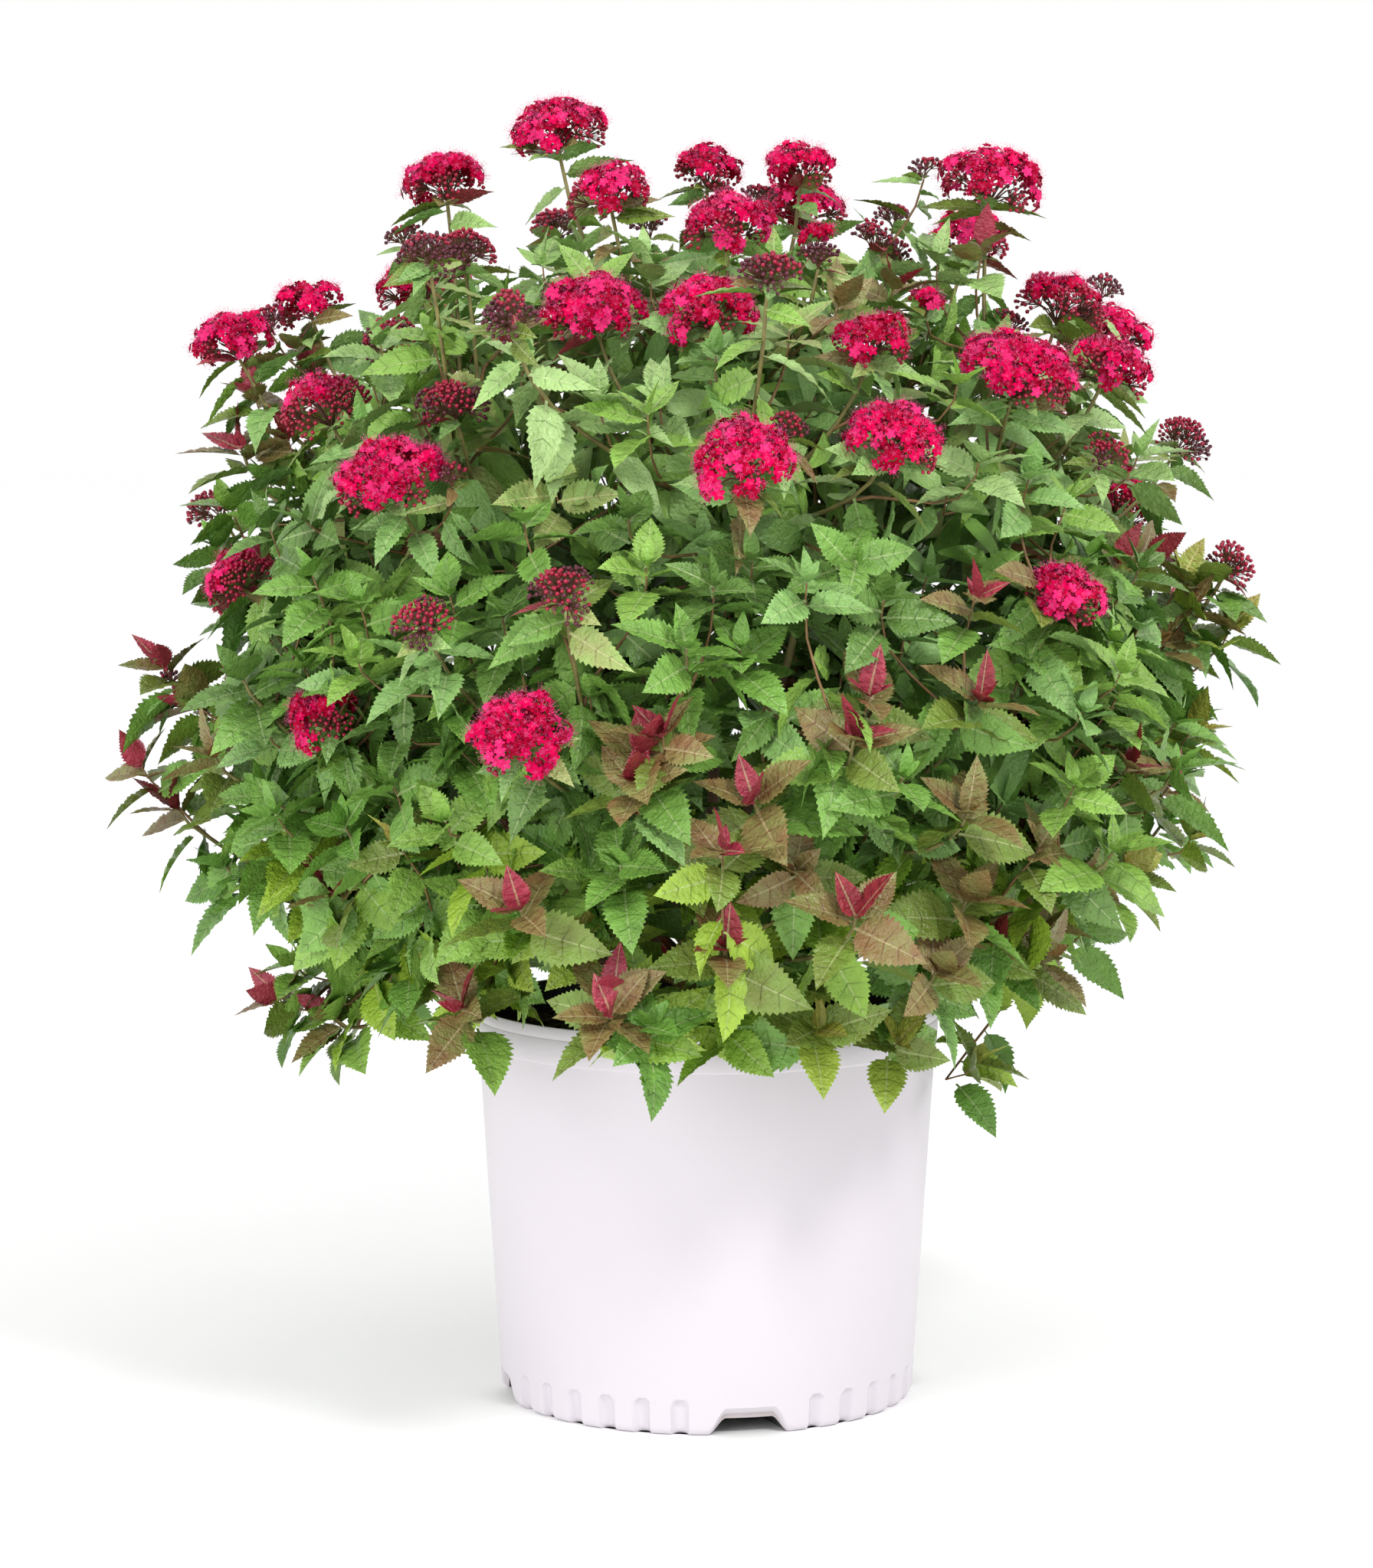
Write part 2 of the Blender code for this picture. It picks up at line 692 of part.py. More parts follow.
class Shapes:
    """The unit shapes that every mass is made of."""

    def __init__(self, helpers):
        self.leaf = leaf_template()
        self.head = head_template()
        self.core = ball("core", 6, 4)
        self.section = three_sided(helpers)


def over_the_rim(way):
    """The way, raised if need be so that a limb along it passes over the pot's rim."""
    least = math.sin(math.radians(RIM_CLEAR_RISE))
    if way.z >= least:
        return way.copy()
    flat = Vector((way.x, way.y, 0.0)).normalized()
    return flat * math.sqrt(1 - least * least) + Vector((0.0, 0.0, least))


def make_bough(name, way, reach, parts, finish):
    """A bough from just clear of the trunk to its mass, bowed a little upward. Gives its points."""
    start = HEART + way * (TRUNK_RADIUS + CLEARANCE)
    end = HEART + way * reach * BOUGH_SHARE
    upward = (Vector((0, 0, 1)) - way * way.z) * (end - start).length * BOUGH_BOW
    steps = [k / BOUGH_PARTS for k in range(BOUGH_PARTS + 1)]
    points = [start.lerp(end, share) + upward * math.sin(math.pi * share) for share in steps]
    radii = [BOUGH_BASE + (BOUGH_TIP - BOUGH_BASE) * share for share in steps]
    tube(f"bough_{name}", points, radii, parts, finish)
    return points


def mass_stem(bough, way, reach):
    """The points of a mass's stem, which carries on from its bough's tip."""
    bough_way = (bough[-1] - bough[-2]).normalized()
    foot = bough[-1] + bough_way * CLEARANCE
    return foot, foot + bough_way * STEM_RUN_IN, HEART + way * reach * STEM_SHARE


def shoot_place(place, width, wedge):
    """Where a shoot's wood ends, inside the wedge and short of a leafy tip's last leaf."""
    if width:
        return wedge.pull_in(place, width / 2)
    return wedge.pull_in(place - tip_way(place) * TUFT_BACK, TUFT_ROOM)


def put_head(curve, width, shapes, pieces):
    turn = bezier_way(curve, 1.0).to_track_quat("Z", "Y").to_matrix().to_4x4()
    head = link("head", shapes.head, pieces)
    head.matrix_world = Matrix.Translation(curve[-1]) @ turn @ Matrix.Scale(width, 4)


def make_mass(name, wedge, tips, shapes, parts, finishes):
    """One bough and the mass of leafy twigs that it carries."""
    rng = random.Random(f"{SEED} {name}")
    reach = sum((place - HEART).length for place, _ in tips) / len(tips)
    way = over_the_rim(wedge.way)
    bough = make_bough(name, way, reach, parts, finishes["bark"])
    foot, run_in, head = mass_stem(bough, way, reach)
    pieces = helper_collection(f"pieces of {name}")
    stem_radii = (STEM_BASE, STEM_BASE, STEM_TIP)
    wood = [tube("stem", (foot, run_in, head), stem_radii, pieces, section=shapes.section)]
    core = link("core", shapes.core, pieces)
    core.matrix_world = core_matrix(name, way, reach, wedge, shapes.core)
    grown = []
    for tip, width in tips:
        place = shoot_place(tip, width, wedge)
        curve = shoot_curve(foot.lerp(head, rng.uniform(*FORKS)), way, place, wedge)
        points = [bezier(curve, share) for share in (0.0, 0.5, 1.0)]
        wood.append(tube("twig", points, TWIG_RADII, pieces, section=shapes.section))
        for matrix in grow_leaves(curve, width, wedge, bough, grown, rng):
            link("leaf", shapes.leaf, pieces).matrix_world = matrix
        if width:
            put_head(curve, width, shapes, pieces)
    stem, *twigs = [welded_tube(limb) for limb in wood]
    for limb in wood:
        bpy.data.objects.remove(limb)
    for mesh in twigs:
        link("twig", mesh, pieces)
    mass = link(f"foliage_{name}", stem, parts, finishes["leaf"])
    boolean(mass, pieces, "UNION", "MANIFOLD")
    keep_outer_shell(mass)


def main():
    clear_scene()
    parts = bpy.data.collections.new("potted spirea")
    bpy.context.scene.collection.children.link(parts)
    helpers = helper_collection("outlines")
    finishes = {
        "pot": material("white plastic", (0.86, 0.86, 0.88), 0.4),
        "mix": material("potting mix", (0.035, 0.028, 0.024), 0.95),
        "bark": material("bark", (0.17, 0.10, 0.06), 0.8),
        "leaf": material("foliage", (0.10, 0.22, 0.07), 0.5),
    }
    make_pot(parts, finishes["pot"])
    make_mix(parts, finishes["mix"])
    make_trunk(parts, finishes["bark"])
    tips = shoot_tips()
    names, ways = mass_ways(tips)
    shapes = Shapes(helpers)
    for own, name in enumerate(names):
        held = [t for t in tips if nearest((t[0] - HEART).normalized(), ways) == own]
        make_mass(name, Wedge(own, ways), held, shapes, parts, finishes)


main()
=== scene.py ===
"""The looks of the potted spirea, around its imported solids, in metres with +Z up.

Canes, twigs, leaves and flower heads grow on from the limbs by the same rule as the part's
source, written again here and carried on to finer side shoots within the same reach. Leaves,
ribs, florets and buds are joined meshes, dealt out by spray to plain tints.
"""

import math
import random

import bpy
import numpy as np
from mathutils import Matrix, Vector, noise

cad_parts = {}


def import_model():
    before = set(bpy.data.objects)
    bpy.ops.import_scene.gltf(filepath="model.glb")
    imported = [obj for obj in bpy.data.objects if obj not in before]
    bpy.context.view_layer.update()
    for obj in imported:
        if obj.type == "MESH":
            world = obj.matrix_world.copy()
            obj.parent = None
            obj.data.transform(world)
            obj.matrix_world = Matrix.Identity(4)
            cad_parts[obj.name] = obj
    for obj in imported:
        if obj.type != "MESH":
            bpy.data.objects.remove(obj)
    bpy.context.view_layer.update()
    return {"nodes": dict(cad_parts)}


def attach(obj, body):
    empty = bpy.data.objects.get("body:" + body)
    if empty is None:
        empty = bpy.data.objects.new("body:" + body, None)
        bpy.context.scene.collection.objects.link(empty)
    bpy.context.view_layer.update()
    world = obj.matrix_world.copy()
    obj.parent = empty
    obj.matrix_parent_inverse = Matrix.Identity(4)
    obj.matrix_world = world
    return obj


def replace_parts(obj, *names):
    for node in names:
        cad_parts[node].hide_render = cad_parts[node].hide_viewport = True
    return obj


# The pot, as in the part's source
RIM_RADIUS = 0.1395
POT_HEIGHT = 0.237
FOOT_RADIUS = 0.1245
WALL = 0.002
BAND_HEIGHT = 0.0215
BAND_STEP = 0.0008
LIP_HEIGHT = 0.007
LIP_STEP = 0.0008
NOTCHES = 4
NOTCH_TURN = 11.5
NOTCH_FOOT_WIDTH = 0.050
NOTCH_TOP_WIDTH = 0.028
NOTCH_HEIGHT = 0.0098
NOTCH_ARCH = 0.0125  # the height of the notch in the wall, over its lining
NOTCH_DEPTH = 0.040
NOTCH_LINING = 0.005  # how far the white plastic shows inside a notch, painted grey as shade, with black painted shade beyond
CHANNELS = 6
CHANNEL_PITCH = 10.4
CHANNEL_WIDTH = 0.0095
CHANNEL_HEIGHT = 0.0215
CHANNEL_BITE = 0.0042
FOOT_RISE = 0.0042  # how high the rounded foot of the wall is
FOOT_CURVE = ((0.0038, 0.0), (0.0027, 0.0004), (0.0012, 0.0014), (0.0002, 0.0028))
POT_COLUMNS = 576
WHITE, BLACK, GREY = 0, 1, 2  # the pot's finishes: black is the inside's plastic and painted shade under the pot and in the notches, grey is painted shade on the notches' arches
MIX_TOP = 0.217
MIX_CROWN = 0.006
MIX_RISE = 2.2  # how soon the mix rises from its edge
BED_COLUMNS, BED_RINGS = 96, 26
CHIPS = 620

# The trunk and the crown's outline, as in the part's source
CLEARANCE = 0.0003
TRUNK_RADIUS = 0.021
TRUNK_FLARE = 0.034
TRUNK_RISE = 0.022
FOOT = Vector((0.0, 0.0, MIX_TOP + MIX_CROWN + CLEARANCE))
HEART = FOOT + Vector((0.0, 0.0, TRUNK_RISE))
CROWN_MIDDLE = 0.42
CROWN_REACH = 0.315
CROWN_RISE = 0.325
CROWN_DROP = 0.235
CROWN_SQUARENESS = 2.5
EYE_DISTANCE = 2.52
EYE_HEIGHT = 0.602

# The flower heads in view: across, up, forward and width as in the part's source, and how far
# open: 1 is all open, 0.6 open with red buds at its edge, 0.2 red buds and 0 dark buds
HEADS = (
    (-89, 757, 0.0, 55, 0.9), (-156, 727, 0.0, 50, 0.95), (-58, 722, 0.3, 47, 0.85),
    (0, 733, -0.5, 42, 0.85), (56, 735, -0.5, 42, 0.8), (167, 727, 0.0, 60, 0.9),
    (12, 702, 0.4, 53, 0.95), (-146, 684, 0.4, 40, 0.2), (66, 682, 0.5, 24, 0.0),
    (98, 694, 0.0, 26, 0.2), (211, 655, 0.0, 56, 0.6), (-238, 655, -0.2, 40, 1.0),
    (-283, 634, 0.2, 48, 1.0), (-191, 634, 0.2, 32, 0.2), (-71, 652, 0.6, 58, 0.95),
    (0, 653, 0.6, 56, 0.9), (98, 633, 0.65, 44, 0.75), (169, 615, 0.65, 68, 1.0),
    (239, 618, 0.4, 48, 0.85), (-229, 594, 0.5, 54, 0.55), (-153, 596, 0.6, 40, 0.2),
    (-189, 547, 0.8, 62, 0.9), (20, 563, 0.9, 56, 1.0), (109, 577, 0.85, 52, 1.0),
    (236, 566, 0.5, 27, 0.2), (-281, 492, 0.35, 43, 0.6), (-89, 484, 1.0, 33, 0.15),
    (214, 484, 0.8, 43, 1.0), (313, 499, 0.0, 31, 0.2), (-231, 396, 0.8, 43, 0.7),
    (-114, 399, 1.0, 52, 1.0),
)  # fmt: skip
# The finer heads, which only the scene has, listed in the same way
FINE_HEADS = (
    (-34, 700, -0.1, 24, 0.0), (30, 716, -0.3, 26, 0.0), (-180, 694, -0.1, 22, 0.2),
    (114, 704, -0.4, 24, 0.0), (122, 680, -0.2, 24, 0.2), (236, 664, -0.2, 22, 0.0),
    (-262, 644, 0.0, 24, 0.1), (180, 643, 0.0, 22, 0.1), (-147, 552, 0.75, 20, 0.1),
    (46, 580, 0.8, 24, 0.1), (-323, 432, 0.2, 14, 0.0), (-285, 437, 0.4, 14, 0.0),
    (134, 733, 0.0, 18, 0.0), (128, 655, 0.3, 22, 0.9), (65, 694, 0.3, 22, 0.9),
)  # fmt: skip

# The leafy tips in view: across, up, forward, and the tints of their young leaves
TUFTS = (
    (-288, 590, 0.0, "red"), (286, 470, 0.2, "bronze"), (172, 436, 0.95, "rust"),
    (92, 412, 1.0, "red"), (-243, 312, 0.75, "red"), (-123, 303, 1.0, "red"),
    (-248, 232, 0.5, "red"), (-165, 237, 0.9, "rust"), (-63, 244, 1.05, "red"),
    (11, 277, 1.0, "rust"), (95, 298, 1.05, "rust"), (168, 308, 0.9, "bronze"),
    (72, 224, 1.0, "yellow"), (149, 262, 1.0, "bronze"), (222, 272, 0.75, "bronze"),
    (166, 365, 0.95, "bronze"), (272, 326, 0.3, "yellow"), (-337, 366, 0.1, "red"),
    (300, 405, 0.1, "green"), (-323, 429, 0.2, "red"), (-310, 330, 0.2, "green"),
    (25, 366, 1.0, "red"), (-15, 470, 1.0, "green"), (-40, 400, 1.0, "rust"),
)  # fmt: skip
# The finer ones between them, which only the scene has
FINE_TUFTS = (
    (-115, 640, 0.5, "red"), (-240, 622, -0.3, "red"), (-269, 505, 0.1, "red"),
    (253, 510, 0.3, "rust"), (164, 490, 0.9, "red"), (99, 430, 0.9, "red"),
    (-46, 376, 1.0, "rust"), (8, 334, 1.05, "red"), (121, 212, 0.95, "yellow"),
    (13, 224, 0.9, "green"), (234, 322, 0.6, "bronze"), (-29, 405, 1.0, "red"),
    (176, 200, 0.6, "yellow"), (76, 668, 0.5, "bronze"), (166, 700, 0.2, "red"),
    (255, 575, 0.0, "green"), (-180, 455, 0.95, "green"), (60, 500, 0.95, "green"),
    (120, 380, 1.0, "green"), (-165, 352, 0.95, "green"), (-30, 610, 0.7, "green"),
    (150, 560, 0.5, "green"), (-95, 560, 0.75, "green"), (255, 440, 0.5, "green"),
    (-210, 480, 0.7, "green"), (292, 502, 0.1, "yellow"), (206, 503, 0.8, "red"),
    (-256, 585, 0.1, "rust"), (-268, 560, 0.0, "green"), (-292, 545, -0.1, "green"),
    (-250, 640, -0.1, "rust"), (-205, 620, 0.3, "green"), (-300, 520, 0.0, "green"),
    (-350, 385, 0.0, "red"), (-334, 446, 0.0, "red"), (-268, 240, 0.35, "red"),
    (318, 505, 0.0, "yellow"), (-275, 612, -0.1, "red"), (-62, 230, 1.1, "red"),
    (-40, 222, 1.12, "green"), (-240, 228, 0.4, "green"), (-262, 262, 0.3, "green"),
    (265, 520, 0.1, "rust"), (302, 340, 0.05, "yellow"), (-75, 698, 0.2, "green"),
    (-100, 690, 0.3, "green"), (112, 676, 0.3, "rust"), (140, 694, 0.1, "green"),
    (322, 470, 0.0, "yellow"), (300, 486, 0.15, "bronze"),
)  # fmt: skip

# Those of the even tips in view whose heads are still small and in bud, as the photo shows there
BUDDED = (59, 61, 64)
BUDDED_WIDTH, BUDDED_OPENNESS = 0.032, 0.12

# The tips that fill the rest of the crown, and the finer ones between them
EVEN_TIPS = 126
TIP_SPACING = 0.079
FINE_TIPS = 900
FINE_SPACING = 0.033
HEAD_SPACING = 0.044  # from a flower head to the finer tips
TUFT_SPACING = 0.050  # from a tip with coloured young leaves to them
INNER_TIPS = 700
INNER_SPACING = 0.038
INNER_DEPTHS = (0.04, 0.11)
INSET = 0.010  # how far inside the crown's outline a finer tip ends, at least
TOP_INSET, SKIRT_INSET = 0.037, 0.036  # and how much deeper on top and at the skirt
INSET_SPREAD = 0.03
SKIRT_BELOW, SKIRT_RUN = 0.37, 0.14
OPEN_ABOVE = 0.53  # the crown's inside is filled below this, and open to the sky above it
CORE_RADIUS = 0.11  # but for its middle
TURN = 2 * math.pi
GOLDEN_TURN = math.pi * (3 - math.sqrt(5))
LOWEST_TIP = 0.30
HEAD_WIDTHS = (0.056, 0.034, 0.048, 0.026, 0.052)
HEAD_OPENNESS = (0.95, 0.2, 1.0, 0.1, 0.8)
HEADS_ABOVE = 0.46
TIERS = (("low", 8, 9, 0), ("middle", 34, 8, 20), ("upper", 60, 5, 10), ("top", 88, 1, 0))
SETTLE_ROUNDS = 6
RIM_CLEAR_RISE = 14
EDGE_CLEARANCE = 0.0006
BOUGH_BASE, BOUGH_TIP = 0.0036, 0.0026
BOUGH_BOW = 0.04
LIMB_PARTS, LIMB_SIDES, TRUNK_SIDES = 14, 12, 40
LIMB_SUNK = 0.004  # how far a bough runs into the trunk
FLARE_STEPS = ((1.0, 0.0), (0.93, 0.0025), (0.80, 0.006), (0.68, 0.011))
BOUGH_RELIEF, TRUNK_RELIEF = (0.0005, 260.0), (0.0022, 120.0)  # how deep and how fine
STEM_BASE, STEM_TIP = 0.0025, 0.0020
STEM_RUN_IN = 0.006
TWIG_RADII = (0.0019, 0.0015, 0.0011)
FINE_RADII = (0.0011, 0.0009, 0.0006)
BOUGH_SHARE = 0.44
STEM_SHARE = 0.66
BOUGH_PARTS = 3
FORKS = (0.35, 0.97)
LEAN_AT_TOP, LEAN_AT_FOOT = 8, 74
TUFT_BACK = 0.032
FINE_BACK = 0.65  # for a finer tip, of that
LEAST_SIDE_RUN, SIDE_RUN = 0.012, 0.07  # how long a finer side shoot is, at least and mostly
TUFT_ROOM = 0.004
RUN_ON = 0.009  # how far over its shoot's end a tip's middle stands
LEAF_SPACING = (0.0095, 0.0115)  # low on the plant, and on top
LEAF_LENGTH, HIGH_LENGTH = 0.046, 0.007  # low on the plant, and what is added on top
FINE_LEAF = 0.92  # how long the leaves of the finer shoots are, of the others'
BROADEST, NARROWING = 0.53, 0.20
HIGH_FROM, HIGH_RUN = 0.34, 0.28  # where the leaves begin to change with height
FACE_ALONG, FACE_UP, FACE_OUT = 0.40, 0.65, 0.6
SINK = Vector((0.0, 0.0, -0.38))  # how a grown leaf hangs down
LEAFY_RUN = 0.14  # how far down from its end a shoot in the upper crown has leaves
COLLAR = 0.034  # how far down from a flower head its shoot's leaves stand out flat under it
DEAD_SHARE = 0.05
BRACTS = 5
TUFT_LEAVES = (0.0, 0.014, 0.033, 0.058, 0.088)
HEAD_LEAVES = (0.028, 0.052, 0.084)
BUD_LEAVES = (0.022, 0.046)
SMALL_HEAD = 0.03
HEAD_DOME = 0.29
HEAD_SAG = 0.12
SEED = 11

# The leaves: outline, serration and relief
LEAF_FIELDS = 5  # between the side veins, on each side
FIELD_TEETH = 3
COARSE_STEPS = 5
TOOTH = 0.22  # how far a tooth stands out, of the half width
VEIN_RAKE = 0.10  # how far forward a side vein runs, of the length
SWELL = 0.040  # how far a field between two veins swells up, of the length
PETIOLE = 0.06  # of the length
RIB_HALF_WIDTH = 0.0007
VEIN_HALF_WIDTH = 0.00055
VEIN_REACH = 0.9
RIB_LIFT = 0.0003
SHORT_LEAF = 0.022  # shorter leaves are made coarse
DEEP_LEAF = 0.082  # and so are those this far inside the crown
POT_MARGIN = 0.004

# The flower heads: clusters of florets and buds
HEAD_ROOM = 0.6  # how far around a head's middle no leaf comes up beside it, of its width
HEAD_ROOM_DOWN, HEAD_ROOM_UP = 0.08, 0.45
HEAD_BASE = 0.20  # how far under its middle a head's stalks meet, of its width
HEAD_FULLNESS = 1.6
HEAD_LOBES = 5
HEAD_LIFT = Vector((0.0, 0.0, 0.35))
CLUSTER_RADIUS = 0.0085
FLORET_RADIUS = 0.0034
FLORETS = 15  # in a full cluster
BUDS = 16
BUD_RADII = (0.00115, 0.0015)
PETALS = 5
PETAL_EDGE = ((0.62, -0.62, 0.20), (1.0, -0.24, 0.16), (1.0, 0.24, 0.16), (0.62, 0.62, 0.20))
STAMENS = 6
STAMEN_LENGTH = 0.0044
ANTHER_SWING = 0.12
RIM_CLUSTERS = 0.36  # those around a head's rim, of its others
FLORETS_ABOVE = 0.42  # how far open a cluster is that has florets
STALK_RADII, HAIR_RADII = (0.0006, 0.0005, 0.0004), (0.00035, 0.00025)

# Tints, as they look on a screen
TINTS = {
    "top_a": "96BA6C", "top_b": "86B062", "top_c": "A2C27A", "top_d": "ACAE6A",
    "mid_a": "75A146", "mid_b": "63873E", "mid_c": "89B14F",
    "low_a": "80A638", "low_b": "97B73B", "low_c": "68963C",
    # deep and dark: darker greens painted as shade on leaves deep inside the lower crown
    "deep": "62843A", "dark": "4C6A2C",
    "bronze": "946C46", "olive": "7E8C3C", "rust": "A86444",
    "red": "94303A", "magenta": "A4384A", "yellow": "B4A24C", "lime": "93AA40",
    "dead": "6A4428",
}  # fmt: skip
MOTTLED = {  # the second tint of those that two run through
    "bronze": "7E824A", "rust": "8C7644", "olive": "6E8A38", "yellow": "94A446",
    "top_d": "86A656",
}  # fmt: skip
NO_RIBS = ("dead", "dark")
RIB_SHARE = 0.34  # of the way from a leaf's tint to the ribs' own
RIB_TINT = "C4D09A"
VEIN_GROOVE_SHADE = 0.62  # a side vein's brightness beside its leaf's: darker, as painted shade in the vein's groove
ZONE_TINTS = {
    "top": ("top_a", "top_b", "top_c", "mid_c", "top_d"),
    "mid": ("mid_a", "mid_b", "mid_c", "top_b", "mid_a"),
    "low": ("low_a", "low_b", "low_c", "mid_c", "mid_a"),
}
LEAF_FINISH = {
    "roughness": 0.32, "spread": 0.2, "scale": 60.0, "bump": 1.0, "bump_scale": 420.0,
    "depth": 0.0014, "Specular_IOR_Level": 0.45,
}  # fmt: skip
TOP_ZONE, MIDDLE_ZONE = 0.55, 0.37  # the heights where these zones begin
SHADED_LEAF, DARK_LEAF = 0.085, 0.13  # how far inside the crown the deep and dark tints, painted shade, begin

# The tints of a leafy tip's young leaves, for these places in its rosette
YOUNG_PLACES = ("smallest", "upright", "young", "outer")
YOUNG_TINTS = {
    "red": ("magenta", "magenta", "bronze", "olive"),
    "rust": ("red", "red", "bronze", "olive"),
    "bronze": ("rust", "bronze", "bronze", "olive"),
    "yellow": ("yellow", "yellow", "olive", "lime"),
    "green": (None, None, None, None),
}
# A rosette's leaves from its middle out: place, length, degrees from the axis, droop and
# broadness. The last one has the shoot's own tint.
ROSETTE = (
    ("upright", 0.029, 14, 0.05, 0.50), ("upright", 0.026, 48, 0.12, 0.50),
    ("smallest", 0.014, 40, 0.20, 0.50), ("young", 0.033, 58, 0.22, 0.54),
    ("young", 0.036, 66, 0.28, 0.55), ("young", 0.037, 74, 0.32, 0.56),
    ("outer", 0.040, 80, 0.36, 0.56), ("outer", 0.042, 86, 0.40, 0.55),
    ("grown", 0.044, 92, 0.45, 0.54),
)  # fmt: skip
GREEN_UPRIGHT = 0.8  # how long the upright leaves of a green tip are, of a coloured one's
BRACT_TINTS = ("top_d", "bronze", "top_b", "olive", "top_a", "magenta")
COLLAR_TINTS = ("top_d", "top_b", "olive", "top_a", "bronze", "top_b")  # close under heads
LOW_CHOICE = ("red", "bronze", "green", "yellow", "green", "rust", "green")
HIGH_CHOICE = ("green", "green", "green", "red", "green", "bronze")
FINE_CHOICE = (
    "green", "green", "bronze", "green", "green", "yellow", "green", "green", "green", "rust",
)  # fmt: skip
GREEN_ABOVE = 0.43  # where the finer tips are all green

# The deep tint is dealt out at random, and it is also painted shade on the lowest florets.
PETAL_TINTS = {"deep": "A6002E", "bright": "CE004C", "pink": "E02A70"}
BUD_TINTS = {"red": "9A0C34", "dark": "561A2C"}
STAMEN_TINT = "E8609A"
WOOD_KINDS = {"stems": (6, "7E7644"), "twigs": (5, "80603C"), "stalks": (3, "6A4634")}

# The studio and the photograph's camera
LIGHTS = (("key", (1.3, -2.1, 2.5), 0.6, 42.0), ("fill", (-1.7, -2.2, 1.1), 1.8, 26.0))
LIT_HEIGHT = 0.38
FLOOR_REACH = 30
CAMERA_ACROSS = -0.0124
LENS = 96.5
SENSOR = 36.0
TILT = 5.28


def linear(code):
    """A screen colour code as the linear red, green and blue that a shader takes."""
    values = [int(code[k : k + 2], 16) / 255 for k in (0, 2, 4)]
    return [v / 12.92 if v <= 0.04045 else ((v + 0.055) / 1.055) ** 2.4 for v in values]


def crown_radius(height):
    rise = height - CROWN_MIDDLE
    share = abs(rise) / (CROWN_RISE if rise > 0 else CROWN_DROP)
    left = max(0.0, 1.0 - share**CROWN_SQUARENESS)
    return CROWN_REACH * left ** (1 / CROWN_SQUARENESS)


def in_view(across, up, forward):
    y = 0.0
    for _ in range(5):
        nearer = 1 + y / EYE_DISTANCE
        x = across / 1000 * nearer
        z = EYE_HEIGHT + (up / 1000 - EYE_HEIGHT) * nearer
        y = -forward * math.sqrt(max(0.0, crown_radius(z) ** 2 - x * x))
    return Vector((x, y, z))


def on_dome(share, turn):
    level = 1 - share * (2 - LOWEST_TIP)
    flat = math.sqrt(max(0.0, 1 - level * level))
    rise = CROWN_RISE if level > 0 else CROWN_DROP
    power = CROWN_SQUARENESS
    scale = (flat**power + abs(level) ** power) ** (-1 / power)
    out = CROWN_REACH * flat * scale
    height = CROWN_MIDDLE + rise * level * scale
    return Vector((out * math.sin(turn), -out * math.cos(turn), height))


def inside_by(place):
    """About how far a place is inside the crown's outline."""
    rise = CROWN_RISE if place.z > CROWN_MIDDLE else CROWN_DROP
    flat = math.hypot(place.x, place.y) / CROWN_REACH
    level = abs(place.z - CROWN_MIDDLE) / rise
    power = CROWN_SQUARENESS
    return (1 - (flat**power + level**power) ** (1 / power)) * CROWN_REACH


class Tip:
    """Where a shoot ends, with the width and openness of its flower head or its young tints."""

    def __init__(self, place, width=0.0, openness=0.0, young="green"):
        self.place, self.width, self.openness, self.young = place, width, openness, young


def listed_tips(heads, tufts):
    """The tips in view that two tables list."""
    tips = [Tip(in_view(*row[:3]), row[3] / 1000, row[4]) for row in heads]
    return tips + [Tip(in_view(*row[:3]), young=row[3]) for row in tufts]


def shoot_tips():
    tips = listed_tips(HEADS, TUFTS)
    dealt = 0
    for k in range(EVEN_TIPS):
        place = on_dome((k + 0.5) / EVEN_TIPS, k * GOLDEN_TURN)
        if min((place - other.place).length for other in tips) < TIP_SPACING:
            continue
        made = Tip(place, young=choice(LOW_CHOICE if place.z < HEADS_ABOVE else HIGH_CHOICE, dealt))
        if place.z > HEADS_ABOVE and dealt % 4 != 3:
            made.width = choice(HEAD_WIDTHS, dealt)
            made.openness = choice(HEAD_OPENNESS, dealt)
        dealt += 1
        tips.append(made)
    for k in BUDDED:
        tips[k].width, tips[k].openness = BUDDED_WIDTH, BUDDED_OPENNESS
    return tips


def choice(options, k):
    return options[k % len(options)]


def inset(place):
    """How far inside the crown's outline a finer tip ends: deeper on top, where heads stand out."""
    high = max(0.0, (place.z - CROWN_MIDDLE) / CROWN_RISE)
    low = min(1.0, max(0.0, (SKIRT_BELOW - place.z) / SKIRT_RUN))
    return INSET + TOP_INSET * high**1.5 + SKIRT_INSET * low


